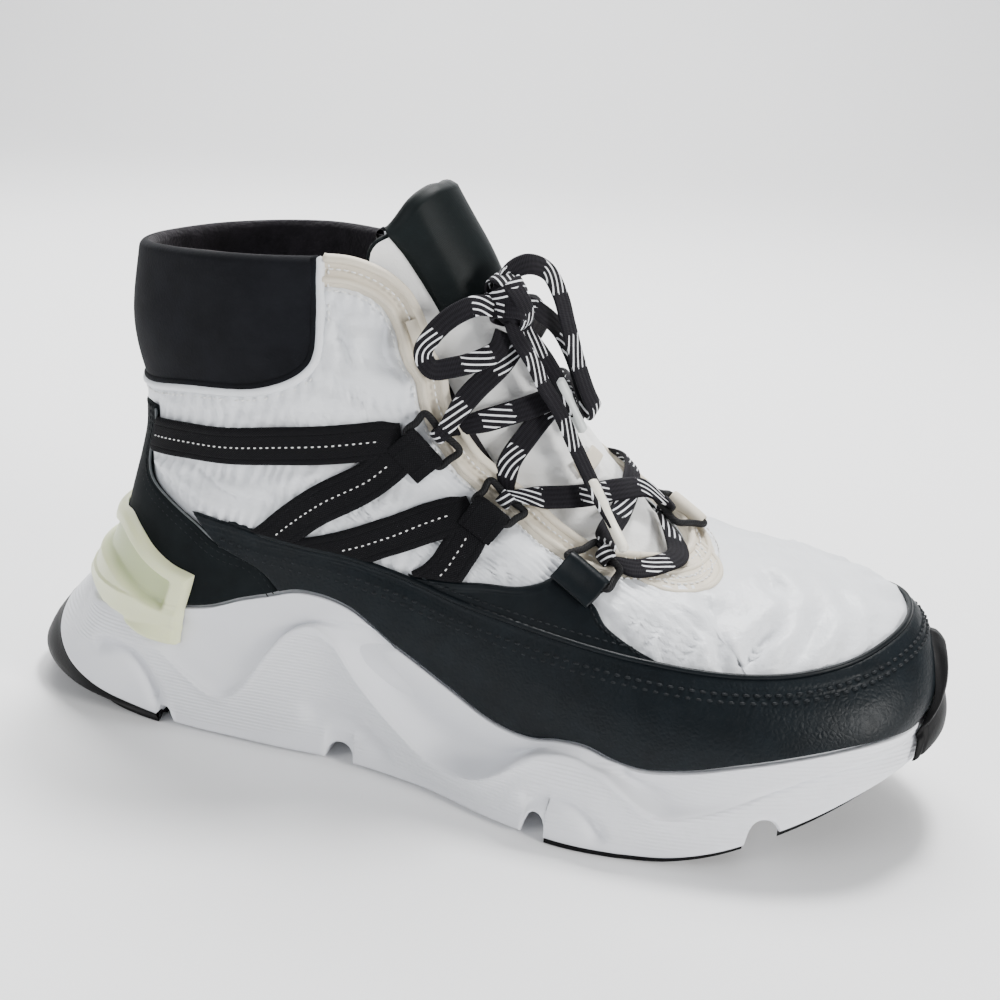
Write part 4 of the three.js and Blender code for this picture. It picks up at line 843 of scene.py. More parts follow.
# lines of the upper's pieces, as (s, t)
THROAT_LAT = [(.2905, .994), (.312, .990), (.335, .974), (.349, .948), (.353, .917), (.352, .890), (.348, .868), (.350, .838), (.343, .802), (.343, .738),
              (.350, .708), (.358, .670), (.359, .615), (.366, .575), (.389, .566)]
THROAT_MED = [(1 - .2905, .994), (.672, .984), (.652, .955), (.648, .917), (.647, .868), (.638, .838), (.626, .80), (.592, .735), (.547, .68), (.514, .64), (.478, .60), (.440, .572), (.415, .562), (.389, .566)]
COLLAR_CURVE = [(0, .792), (.045, .792), (.09, .792), (.148, .802), (.203, .807), (.223, .815), (.245, .830), (.260, .848), (.269, .870), (.278, .915), (.284, .965), (.288, .993)]
RAND_CURVE = [(s, t) for s, t in RAND_TOP[1:]]


def rand_edge(pitch=1.0):
    s = np.concatenate([np.linspace(.146, .5, 260), np.linspace(.5, 1 - .146, 260)[1:]])
    t = read(RAND_TOP, fold(s))
    P = last(s, t)
    Q, _ = resample(np.concatenate([P, s[:, None], t[:, None]], 1), pitch)
    return Q[:, 3], Q[:, 4]


def counter_edge_s(t):
    return read(COUNTER_EDGE, .2 + (.748 - .2) * 0 + t)


# ------------------------------------------------------------------ upper
def seam_points():
    """points in mm along every line where the padded nylon is held down"""
    out = []
    def put(st, flip=False, off=(0,)):
        s, t = on_skin(st, pitch=1.5, flip=flip)
        for x in off:
            out.append(lane(s, t, x, 0.0)[0])
    put(COLLAR_CURVE, False, (0,))
    put(COLLAR_CURVE, True, (0,))
    put(THROAT_LAT, False, (-7.5, -4, 0))
    put(THROAT_MED, False, (7.5, 4, 0))
    for flip in (False, True):
        for paths in STRAPS.values():
            for p in paths:
                put(p, flip, (-6.5, -3, 0, 3, 6.5))
        put([tuple(r) for r in WING_TOP], flip)
        v = np.linspace(.2, .748, 14)
        put([(float(read(COUNTER_EDGE, a)), float(a)) for a in v], flip)
        for q in LOOPS:
            pass
    s, t = rand_edge(1.5)
    out.append(last(s, t))
    return np.concatenate(out)


def crease(a, b, long, short, seed, sharp=.55):
    """soft pillows between narrow valleys, running along a, about -1 to 1"""
    w = .45 * noise(np.stack([a / (long * .7), b / (short * 2.2), 0 * a + 3.3], -1), seed + 3)
    n = noise(np.stack([a / long, b / short + w, 0 * a + seed * 1.7], -1), seed)
    return np.clip(np.abs(n) / .62, 0, 1)**sharp * 2 - 1.25


# troughs pressed into the nylon: points (s, t), half width and depth in mm
FOLDS = [
    ([(.316, .400), (.333, .445), (.349, .478)], 1.5, 1.1), ([(.322, .378), (.338, .425), (.358, .465)], 1.7, 1.4),
    ([(.328, .366), (.342, .413), (.364, .455)], 1.6, 1.3), ([(.336, .360), (.348, .400), (.361, .425)], 1.4, 1.0),
    ([(.352, .350), (.362, .400), (.374, .435)], 2.0, 1.5), ([(.361, .350), (.378, .393), (.401, .422), (.431, .445)], 2.2, 1.7),
    ([(.380, .352), (.399, .383), (.425, .417), (.455, .445)], 2.5, 1.8), ([(.409, .345), (.429, .372), (.448, .393)], 1.9, 1.3),
    ([(.448, .505), (.433, .475), (.429, .450)], 2.6, 1.3), ([(.382, .485), (.381, .463), (.399, .473)], 2.0, 1.1),
    ([(.432, .345), (.452, .365), (.473, .378)], 1.8, 1.0), ([(.467, .443), (.461, .422), (.448, .403)], 2.2, 1.1),
    ([(.122, .785), (.157, .780), (.192, .792)], 1.7, .8), ([(.129, .753), (.167, .760), (.211, .787), (.243, .810)], 1.9, 1.1),
    ([(.263, .870), (.278, .880), (.292, .870), (.302, .853)], 1.7, 1.3), ([(.267, .828), (.278, .810), (.288, .800)], 1.6, 1.2),
    ([(.106, .560), (.138, .535), (.152, .480)], 2.0, .9), ([(.136, .588), (.164, .590), (.179, .562)], 2.0, 1.2),
    ([(.218, .682), (.238, .685), (.256, .710)], 1.7, 1.3), ([(.216, .585), (.241, .613), (.270, .665), (.297, .690)], 1.7, 1.3),
    ([(.269, .500), (.293, .530), (.315, .557)], 1.5, 1.1), ([(.270, .465), (.286, .480), (.311, .515)], 1.5, 1.1),
    ([(.288, .907), (.283, .865), (.272, .825)], 1.7, 1.2), ([(.332, .890), (.326, .855), (.312, .815)], 1.7, 1.2),
]


def pressed(P):
    """depth of the listed folds at points P"""
    flat = P.reshape(-1, 3)
    out = np.zeros(len(flat))
    for points, wide, deep in FOLDS:
        for flip in (False, True):
            s, t = on_skin(points, pitch=1.5, flip=flip)
            c = last(s, t)
            k = np.where(((flat > c.min(0) - 4 * wide) & (flat < c.max(0) + 4 * wide)).all(1))[0]
            if not len(k):
                continue
            gap = np.linalg.norm(flat[k][:, None] - c[None], axis=-1)
            u = gap.argmin(1) / (len(c) - 1)
            gap = gap.min(1)
            fade = smooth((u + .12) / .3) * smooth((1 - u) / .5)
            out[k] += 1.45 * deep * fade * (.55 * np.exp(-((gap - 2.2 * wide) / (1.1 * wide))**2) - np.exp(-(gap / wide)**2))
    return out.reshape(P.shape[:-1])


def puff(P, d):
    """how far the quilted nylon stands off its seams, with soft folds pressed in"""
    x, y, z = P[..., 0], P[..., 1], P[..., 2]
    a = .975 * x - .22 * z
    b = .22 * x + .975 * z
    quarter = crease(a, b, 46, 8.5, 3)
    fine = crease(a, b, 26, 4.2, 11)
    va, vb = .72 * x + .69 * (y + 40), -.69 * x + .72 * (y + 40)
    vamp = crease(va, vb, 40, 8.0, 21)
    vfine = crease(va, vb, 20, 4.4, 31)
    front = smooth((x - 178) / 24)
    creased = (quarter * 1.45 + fine * .7) * (1 - front) + (vamp * 1.25 + vfine * .6) * front
    body = 1 - np.exp(-d / 5.0)
    gather = np.sin(a * 1.7 + 2.6 * noise(np.stack([a / 9, b / 9, 0 * a], -1), 5)) * np.exp(-((d - 2.2) / 2.4)**2) * .55
    return 2.2 * body + (creased * .8 + pressed(P)) * (1 - np.exp(-d / 2.6)) + gather


SEAMS = seam_points()


COLLAR_LINE = catmull(np.array(COLLAR_CURVE, float), 14)
COLLAR_LINE[:, 0] = np.maximum.accumulate(COLLAR_LINE[:, 0])


def build_upper():
    NL, NA, NM = ((300, 46, 144))
    LOW, HIGH = ((48, 44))
    N = NL + NA + NM
    tl = np.linspace(0, THROAT_BOTTOM, LOW + 1)
    v = np.linspace(0, 1, HIGH + 1)
    i = np.arange(N)

    def col(i, t):
        a, b = read(THROAT, t, 1), read(THROAT, t, 2)
        return np.where(i <= NL, a * i / NL, np.where(i <= NL + NA, a + (b - a) * (i - NL) / NA, 1 - (1 - b) * (N - i) / NM))
    top = 1 - read(COLLAR_DROP, fold(col(i, 1.0))) - .006
    top = top - .030 * smooth((.291 - fold(col(i, 1.0))) / .004)
    tt = np.concatenate([np.broadcast_to(tl, (N, LOW + 1)), THROAT_BOTTOM + (top[:, None] - THROAT_BOTTOM) * v[1:]], 1)
    S = col(i[:, None], tt)
    P0 = last(S, tt)
    d = nearest(P0.reshape(-1, 3), SEAMS).reshape(S.shape)
    h = puff(P0, d)
    # held down under the overlays, sunk under the collar pad
    f = fold(S)
    rand = smooth((read(RAND_TOP, np.clip(f, .127, .5)) + .006 - tt) / .012)
    rand = np.where(f < .124, 0, rand)
    t_mid = tt
    counter = smooth((read(COUNTER_EDGE, np.clip(t_mid, .0, .748)) + .003 - f) / .01) * (tt < .75)
    fw = np.where(S > .5, .232 + (f - .232) / 1.75, f)
    wing = smooth((read(WING_TOP, np.clip(fw, .229, .324)) + np.where(S > .5, .010, 0) - tt) / .012) * smooth((.33 - fw) / .008) * (f > .225)
    over = np.maximum(np.maximum(rand, counter), wing)
    h = h * (1 - over) - .35 * over
    # held flat under the eyestay's band
    brim = np.concatenate([last(*on_skin(c, pitch=1.5)) for c in (THROAT_LAT, THROAT_MED)])
    near = 1 - smooth((nearest(P0.reshape(-1, 3), brim).reshape(S.shape) - 7.3) / 1.6)
    h = h * (1 - near) - .7 * near
    edge = np.interp(f, *COLLAR_LINE.T)
    under = smooth((tt - edge) / .02) * (f < .29)
    h = h * (1 - under) - 1.8 * under
    h = h - .5 * smooth((tt - top[:, None] + .012) / .012)
    P = skin(S, tt, h)
    inner = skin(S, tt, -wall_at(tt) * .9)
    keep_rows = LOW + HIGH
    uv = np.stack([S * 600, tt * 150], -1)
    parts = Parts()
    # outer grid, inner grid, without the throat
    cols = N
    def faces(base, flip):
        F = grid_faces(N, keep_rows, True, 0).reshape(N, keep_rows, 4)
        mask = np.ones((N, keep_rows), bool)
        mask[NL:NL + NA, LOW:] = False
        F = F[mask] + base
        return F[:, ::-1] if flip else F
    rows = keep_rows + 1
    F = [faces(0, False), faces(N * rows, True)]
    # join along the collar, the throat and the bottom
    def join(a, b):
        return np.stack([a[:-1], a[1:], b[1:], b[:-1]], -1)
    idx = lambda i, j: (i % N) * rows + j
    ring = np.arange(N + 1)
    solid = np.concatenate([np.arange(NL + NA, N + NL + 1)])
    t_ids = idx(solid, rows - 1)
    F.append(join(t_ids, t_ids + N * rows)[:, ::-1][:, ::-1])
    b_ids = idx(ring, 0)
    F.append(join(b_ids, b_ids + N * rows)[:, ::-1])
    up = np.arange(LOW, rows)
    for c, fl in ((NL, False), (NL + NA, True)):
        ids = idx(np.full(len(up), c), up)
        q = join(ids, ids + N * rows)
        F.append(q if fl else q[:, ::-1])
    across = np.arange(NL, NL + NA + 1)
    ids = idx(across, LOW)
    F.append(join(ids, ids + N * rows))
    allP = np.concatenate([P.reshape(-1, 3), inner.reshape(-1, 3)])
    ob = quads("upper_nylon", allP, np.concatenate(F), MAT["nylon"], np.concatenate([uv.reshape(-1, 2)] * 2))
    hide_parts("upper")
    return ob


def build_lining():
    parts = Parts()
    s = np.linspace(.648, 1.352, 161)
    drop = read(COLLAR_DROP, fold(s))
    v = np.linspace(0, 1, 41)
    t = .02 + (1 - drop[:, None] - .012 - .02) * v
    S = np.broadcast_to(s[:, None], t.shape)
    rng = noise(np.stack([S * 60, t * 22, 0 * S], -1), 9) * .5
    deep = 1.3 * smooth((t - .6) / .2) * smooth((.985 - t) / .06)
    P = skin(S, t, -wall_at(t) - .35 - deep - np.abs(rng))
    Q = skin(S, t, -wall_at(t) * .92)
    uv = np.stack([S * 600, t * 150], -1)
    G = np.concatenate([P, Q[:, ::-1]], 1)
    parts.grid(G, flip=True, uv=np.concatenate([uv, uv[:, ::-1]], 1))
    parts.make("lining", MAT["fleece"], "lining_fleece")
    parts = Parts()
    s = np.linspace(.30, .70, 121)
    v = np.linspace(0, 1, 21)
    t = .02 + (.53 - .02) * v
    S, t = np.broadcast_arrays(s[:, None], t[None])
    P, Q = skin(S, t, -wall_at(t) - .35), skin(S, t, -wall_at(t) * .92)
    uv = np.stack([S * 600, t * 150], -1)
    parts.grid(np.concatenate([P, Q[:, ::-1]], 1), flip=True, uv=np.concatenate([uv, uv[:, ::-1]], 1))
    parts.make("lining_toe", MAT["fleece"], "lining_fleece")


def build_collar():
    nu = 420
    s = np.linspace(-.2865, .2865, nu + 1)
    edge = np.interp(np.abs(s), *COLLAR_LINE.T)
    n_out, n_roll, n_in = 46, 14, 30
    top = .984
    rows, hs, ups = [], [], []
    v = np.linspace(0, 1, n_out + 1)
    t_out = edge[:, None] + (np.maximum(top, edge + .001)[:, None] - edge[:, None]) * v
    dist = (t_out - edge[:, None]) * 150
    ends = np.minimum(1, (.2865 - np.abs(s)) * 600 / 3.0)[:, None]
    bulge = (.25 + .9 * smooth((np.abs(s)[:, None] - .06) / .1)) * smooth(dist / 9) * smooth((1.02 - t_out) / .09) * smooth(ends / 3)
    wob = .35 * noise(np.stack([np.broadcast_to(s[:, None], t_out.shape) * 18, t_out * 11, 0 * t_out], -1), 17) * smooth(dist / 8)
    h_out = -1.3 + (1.3 + .25) * dome(dist, 3.0) + bulge + wob
    P = [skin(np.broadcast_to(s[:, None], t_out.shape), t_out, h_out)]
    a = np.linspace(0, np.pi, n_roll + 1)[1:-1]
    r = 2.35
    up = unit(last(s, 1.0) - last(s, .93))
    base_h = h_out[:, -1]
    mid = base_h - r
    roll = [skin(s, np.full_like(s, top), mid + r * np.cos(w)) + up * (r * np.sin(w)) for w in a]
    P.append(np.stack(roll, 1))
    v = np.linspace(0, 1, n_in + 1)
    t_in = top - (top - .70) * v
    S = np.broadcast_to(s[:, None], (len(s), n_in + 1))
    T2 = np.broadcast_to(t_in, S.shape)
    back = 1.6 * smooth(v / .25) * smooth((1 - v) / .25)
    P.append(skin(S, T2, (mid - r)[:, None] - back * .9 - .25 * noise(np.stack([S * 30, T2 * 12, 0 * S], -1), 19)))
    G = np.concatenate(P, 1)
    du = edge_distances(G)
    outer = G[:, :n_out + 8]
    inner = G[:, n_out + 7:]
    parts = Parts()
    back_face = skin(np.broadcast_to(s[:, None], t_out.shape), t_out, np.full(t_out.shape, -1.75))
    parts.grid(np.concatenate([back_face[:, :1], outer], 1))
    ob = parts.make("collar", MAT["collar"], "collar_knit")
    parts = Parts()
    parts.grid(np.concatenate([inner, skin(S[:, -1:], T2[:, -1:], np.full((len(s), 1), -2.6))], 1))
    parts.make("collar_lining", MAT["fleece"], "lining_fleece")
    # the nylon's folded edge against the collar, and its stitches
    edges, threads, brim = Parts(), Parts(), Parts()
    for flip in (False, True):
        s, t = on_skin(COLLAR_CURVE, pitch=1.0, flip=flip)
        sign = -1 if flip else 1
        P, s2, t2 = lane(s, t, .15 * sign, .35)
        wob = .07 * np.sin(np.arange(len(P)) * 1.3 + 2 * noise(P / 7, 3))
        tube(edges, P + normals_of(s2, t2) * wob[:, None], normals_of(s2, t2), 1.35, sides=10)
        P, s2, t2 = lane(s, t, 1.5 * sign, -.45)
        tube(brim, P, normals_of(s2, t2), 1.5, sides=10)
        P, s2, t2 = lane(s, t, -2.2 * sign, .55)
        stitches(threads, P, normals_of(s2, t2), 1.9, 1.25, .30, .12, .25)
    edges.make("collar_edge", MAT["nylon"], "quarter_nylon")
    brim.make("collar_brim", MAT["collar"], "collar_knit")
    threads.make("collar_stitches", MAT["thread"], "thread_white")


def build_eyestay():
    band, pipes, threads = Parts(), Parts(), Parts()
    for curve_st, sign in ((THROAT_LAT, 1), (THROAT_MED, -1)):
        s, t = on_skin(curve_st, pitch=1.0)
        n = len(s)
        # which way is away from the throat
        P = skin_up(s, t, 0 * s)
        W = unit(np.cross(normals_of(s, t), tangents(P)))
        away = -1 if sign > 0 else 1
        probe, _, _ = lane(s, t, away * 5.0, 0.0)
        centre = skin(np.array([.47]), np.array([.80]), 0)[0]
        if np.linalg.norm(probe[n // 3] - centre) < np.linalg.norm(P[n // 3] - centre):
            away = -away
        rows = [(-.9, -1.6), (-1.2, -.5), (-1.0, .55), (-.3, 1.15), (.6, 1.3), (1.6, 1.0), (2.4, .75), (3.4, .35), (4.4, .5), (5.6, 1.2), (6.6, 1.0), (7.4, .55), (8.0, .0), (8.3, -.6)]
        xs = np.linspace(0, len(rows) - 1, 34)
        prof = catmull(np.array(rows), 4)
        strip(band, s, t, [(away * x, h) for x, h in prof], flip=(away > 0))
        Pp, s2, t2 = lane(s, t, 0 * s, 1.35)
        tube(pipes, Pp, normals_of(s2, t2), 1.25, sides=10)
        Pp, s2, t2 = lane(s, t, away * 5.9, 1.0)
        tube(pipes, Pp, normals_of(s2, t2), .95, sides=8)
        for x, h in ((2.9, 1.05), (8.9, 1.1)):
            Pp, s2, t2 = lane(s, t, away * x, h)
            stitches(threads, Pp, normals_of(s2, t2), 2.1, 1.5, .25, .1)
    band.make("eyestay", MAT["cream"], "eyestay_synthetic")
    pipes.make("eyestay_piping", MAT["cream"], "eyestay_synthetic")
    threads.make("eyestay_stitches", MAT["thread"], "thread_white")
    # small stitched tab behind the eyestay
    tab = Parts()
    s, t = on_skin([(.3465, .905), (.345, .88), (.3435, .845)], pitch=.8)
    strip(tab, s, t, [(x, h) for x, h in ((-2.4, .3), (-2.3, 1.2), (-1.8, 1.75), (0, 1.9), (1.8, 1.75), (2.3, 1.2), (2.4, .3))])
    tab.make("eyestay_tab", MAT["cream"], "eyestay_synthetic")


def build_patch():
    """round-ended patch where the throat ends, with double stitched arcs"""
    C = np.array([.418, .548])
    centre = skin(np.array([.4165]), np.array([.566]), 0.0)[0]
    n = last_normal(np.array([.4165]), np.array([.566]))[0]
    a, b = metric(np.array([.4165]), np.array([.566]))
    along = unit(a[0])
    up = unit(np.cross(n, along))
    ang = np.linspace(np.pi * .96, np.pi * 2.08, 90)
    def st(radius, ang):
        d = (np.cos(ang)[:, None] * along + np.sin(ang)[:, None] * up) * radius
        z = np.zeros(len(ang))
        return shift(z + .4165, z + .566, d)
    rad = np.concatenate([np.linspace(2, 14.6, 16), 14.6 + 1.5 * (1 - np.cos(np.linspace(0, np.pi / 2, 6)[1:]))])
    hh = np.concatenate([np.full(16, 1.25), 1.25 - 1.4 * (1 - np.sqrt(1 - np.linspace(0, 1, 6)[1:]**2))])
    G = np.stack([skin(*st(r, ang), np.full(len(ang), h)) for r, h in zip(rad, hh)], 1)
    parts = Parts()
    uv = np.zeros(G.shape[:2] + (2,))
    parts.grid(G, flip=False)
    parts.make("throat_patch", MAT["cream"], "eyestay_synthetic")
    threads, pipe = Parts(), Parts()
    for r in (9.6, 12.6):
        s, t = st(r, ang)
        P = skin(s, t, 1.3 + 0 * s)
        stitches(threads, P, last_normal(s, t), 2.0, 1.4, .26, .1)
    s, t = st(15.3, ang)
    tube(pipe, skin(s, t, 1.0 + 0 * s), last_normal(s, t), .8)
    s, t = st(11.1, ang)
    tube(pipe, skin(s, t, 1.2 + 0 * s), last_normal(s, t), .35, flat=.6)
    threads.make("patch_stitches", MAT["thread"], "thread_white")
    pipe.make("patch_piping", MAT["cream"], "eyestay_synthetic")


# ------------------------------------------------------------------ tongue
def tongue_edge(v):
    return herm([0, .2, .5, .8, 1], [.350, .338, .322, .316, .322], v)


def tongue_point(u, v, h):
    """u across, v up, h above the tongue's face"""
    a = tongue_edge(v)
    b = 1 - tongue_edge(v) - .13 * (1 - smooth(v / .6))
    s = a + (b - a) * u
    top = 1 + read(TONGUE_TOP, fold(s)) / 150
    t = .53 + (top - .53) * v
    inside = np.minimum(s - read(THROAT, t, 1), read(THROAT, t, 2) - s)
    centre = smooth((inside - .004) / .05) * smooth((t - .575) / .06)
    above = smooth((t - .97) / .05)
    face = -(wall_at(t) + GAP + .85) + 2.9 * centre + .8 * above * (1 - centre)
    return skin_up(s, t, face + h), s, t, centre, np.minimum(s - a, b - s)


def build_tongue():
    nu, nv = ((90, 110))
    U, V = np.meshgrid(np.linspace(0, 1, nu + 1), np.linspace(0, 1, nv + 1), indexing="ij")
    P0, s, t, centre, margin = tongue_point(U, V, 0 * U)
    x = P0
    w = np.abs(noise(np.stack([s * 22, t * 26 + .6 * noise(np.stack([s * 12, t * 9, 0 * s], -1), 2), 0 * s], -1), 41))**.6 * 1.5 - .7
    w = w + .5 * (np.abs(noise(np.stack([s * 45, t * 52, 0 * s], -1), 43))**.6 - .4)
    quilt = .9 * np.abs(np.sin(np.pi * (t - .60) / .085))**.5 - .5
    edge = smooth(margin / .03) * smooth((1 - V) / .05)
    h = (w * .9 + quilt * .45 * (t < .93)) * centre * edge
    P, *_ = tongue_point(U, V, h)
    deep = TONGUE_THICK - 2.2 * (1 - smooth(margin / .05))
    deep = deep - 1.6 * (1 - dome((1 - V) * 70, 3.0))
    Q, *_ = tongue_point(U, V, -deep)
    parts = Parts()
    parts.grid(P)
    parts.grid(Q, flip=True)
    # edge rim, a band joining the face and the back
    def loop(G):
        return np.concatenate([G[:, 0], G[-1, 1:], G[::-1, -1][1:], G[0, ::-1][1:]])
    a, b = loop(P), loop(Q)
    up = unit(a - np.roll(a, 0, 0) + 1e-9)
    rim = np.stack([a, b], 1)
    parts.grid(rim, flip=True)
    ob = parts.make("tongue_nylon", MAT["tongue"], "tongue_nylon")
    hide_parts("tongue")
    # black binding along the side and over the top
    pipe = Parts()
    v = np.linspace(.50, 1, 90)
    left, *_ = tongue_point(0 * v + .004, v, 0 * v - 1.9)
    u = np.linspace(.004, .996, 90)
    topline, *_ = tongue_point(u, 0 * u + 1, 0 * u - 1.9)
    right, *_ = tongue_point(0 * v + .996, v[::-1], 0 * v - 1.9)
    path = np.concatenate([left, topline[1:], right[1:]])
    path, _ = resample(path, 1.0)
    n = unit(path - np.array([60, 0, 120.0]))
    tube(pipe, path, n, 1.15, sides=10)
    pipe.make("tongue_binding", MAT["satin"], None)
    # dark gusset line seen just outside the eyestay's upper edge
    lab = Parts()
    nu2, nv2 = 60, 40
    U, V = np.meshgrid(np.linspace(0, 1, nu2 + 1), np.linspace(0, 1, nv2 + 1), indexing="ij")
    s_want = .3745 + (.608 - .3745) * U - .020 * V**1.5 * (1 - U)**2
    low = np.interp(s_want, [.37, .42, .478, .52, .57, .61], [.893, .925, .957, .960, .950, .930])
    top = 1 + read(TONGUE_TOP, fold(s_want)) / 150
    tw = low + (top - low) * V
    vv = (tw - .53) / (top - .53)
    a = tongue_edge(vv)
    bb = 1 - tongue_edge(vv) - .13 * (1 - smooth(vv / .6))
    uu = (s_want - a) / (bb - a)
    P0, *_ = tongue_point(uu, vv, 0 * uu)
    d = edge_distances(P0)
    e = np.minimum(np.minimum(d[0], d[1]), d[2])
    hh = .35 + 1.05 * dome(e, 1.1) + .45 * noise(P0 / 16, 8) * smooth(e / 5) + .35 * smooth(e / 14)
    F, *_ = tongue_point(uu, vv, hh)
    F0, *_ = tongue_point(uu, vv, 0 * uu + .1)
    # over the top and a little way down behind
    topv = np.ones(nu2 + 1)
    ue = uu[:, -1]
    over = []
    for k in range(1, 10):
        w = np.pi * k / 9
        c, *_ = tongue_point(ue, topv, 0 * ue - 2.0)
        upd = unit(last(s_want[:, -1], 1.0) - last(s_want[:, -1], .93))
        nrm = last_normal(s_want[:, -1], 0 * ue + 1)
        over.append(c + nrm * (3.4 * np.cos(w))[None] + upd * (3.0 * np.sin(w))[None])
    down = []
    for k in range(1, 9):
        q, *_ = tongue_point(ue, topv - .018 * k, 0 * ue - 5.6)
        down.append(q)
    G = np.concatenate([F0[:, :1], F, np.stack(over, 1), np.stack(down, 1)], 1)
    dd = edge_distances(G)
    lab.grid(G, uv=np.stack([dd[0], dd[2]], -1))
    lab.make("tongue_label", MAT["satin"], None)
    # keeper tab half way down, holding the lace in line
    keep = Parts()
    s, t = np.linspace(.418, .462, 40), np.interp(np.linspace(0, 1, 40), [0, 1], [.712, .732])
    P = skin(s, t, .9 + 0 * s)
    n = last_normal(s, t)
    W = unit(np.cross(n, tangents(P)))
    ribbon(keep, P + n * .35, W, n, 5.2, 1.3)
    keep.make("tongue_keeper", MAT["cream"], "eyestay_synthetic")


TONGUE_THICK = 6.0


def build_insole():
    s = np.linspace(0, 1, 241)[:-1]
    n = outline_normal(s)
    rows = []
    for inset, dz in ((2.2, 0), (1.2, .5), (.9, 1.2), (.8, 2.4), (.9, 3.2), (1.6, 3.8), (2.6, 4.0)):
        p = last(s, 0 * s) - n * (wall_at(0) + inset)
        rows.append((p, dz))
    def floor_at(x):
        # height of the footbed, from the feather line
        sl = np.linspace(0, .5, 200)
        q = last(sl, 0 * sl)
        return np.interp(x, q[:, 0], q[:, 2])
    out = []
    for p, dz in rows:
        p[:, 2] = floor_at(p[:, 0]) + .1 + dz
        out.append(p)
    centre_y = (out[-1][:, 1] + out[-1][::-1, 1].take(np.arange(-1, len(s) - 1), mode="wrap")) / 2
    last_row = out[-1]
    for k in (.85, .6, .35, .12):
        q = last_row.copy()
        mirror_y = np.interp(q[:, 0], np.sort(q[:, 0]), centre_y[np.argsort(q[:, 0])])
        q[:, 1] = mirror_y + (q[:, 1] - mirror_y) * k
        q[:, 2] = floor_at(q[:, 0]) + 4.1 + .6 * (1 - k) * np.abs(np.sin(q[:, 0] / 40)) * 0
        out.append(q)
    under = out[0].copy()
    G = np.stack(out, 1)
    parts = Parts()
    parts.grid(np.concatenate([G, G[:1]]), flip=False)
    ob = parts.make("insole_textile", MAT["insole"], "insole_textile")
    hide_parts("insole")


# ------------------------------------------------------------------ overlays
def build_counter():
    nu, nv = ((170, 90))
    U, V = np.meshgrid(np.linspace(0, 1, nu + 1), np.linspace(0, 1, nv + 1), indexing="ij")
    t0 = .2 + (.748 - .2) * V
    e = read(COUNTER_EDGE, t0) - .0015
    S = -e + 2 * e * U
    low = rim_t(S) + .012
    t = low + (.748 - low) * V
    parts = Parts()
    base = np.full(S.shape, .45)
    P0 = skin(S, t, base)
    d = edge_distances(P0)
    edge = np.minimum(np.minimum(d[0], d[1]), d[3])
    h = .45 + 1.2 * dome(edge, 1.1) - .22 * np.exp(-((edge - 2.1) / .5)**2) + .18 * noise(P0 / 14, 5) * smooth(edge / 4)
    P = skin(S, t, h)
    under = skin(S, t, np.full(S.shape, .2))
    G = np.concatenate([under[:, :1], P, under[:, -1:]], 1)
    G = np.concatenate([np.concatenate([under[:1, :1], under[:1], under[:1, -1:]], 1), G, np.concatenate([under[-1:, :1], under[-1:], under[-1:, -1:]], 1)])
    parts.grid(G)
    ob = parts.make("heel_counter_nubuck", MAT["nubuck"], "counter_nubuck")
    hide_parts("heel_counter")
    threads, edge_line = Parts(), Parts()
    for flip in (False, True):
        v = np.linspace(.015, .985, 160)
        t0 = .2 + (.748 - .2) * v
        s = read(COUNTER_EDGE, t0) - .0015
        low = rim_t(s) + .012
        t = low + (.748 - low) * v
        if flip:
            s = 1 - s
        P = skin(s, t, 1.35 + 0 * s)
        tube(edge_line, P, last_normal(s, t), .38, sides=6)
        Q, _ = resample(np.concatenate([P, s[:, None], t[:, None]], 1), 1.0)
        for x in (2.2, 4.4):
            P2, s2, t2 = lane(Q[:, 3], Q[:, 4], (x if not flip else -x), 1.5)
            stitches(threads, P2, last_normal(s2, t2), 2.2, 1.5, .2, .02)
    threads.make("counter_stitches", MAT["thread_dark"], "thread_dark")
    edge_line.make("counter_edge", MAT["grey_edge"], "thread_dark")


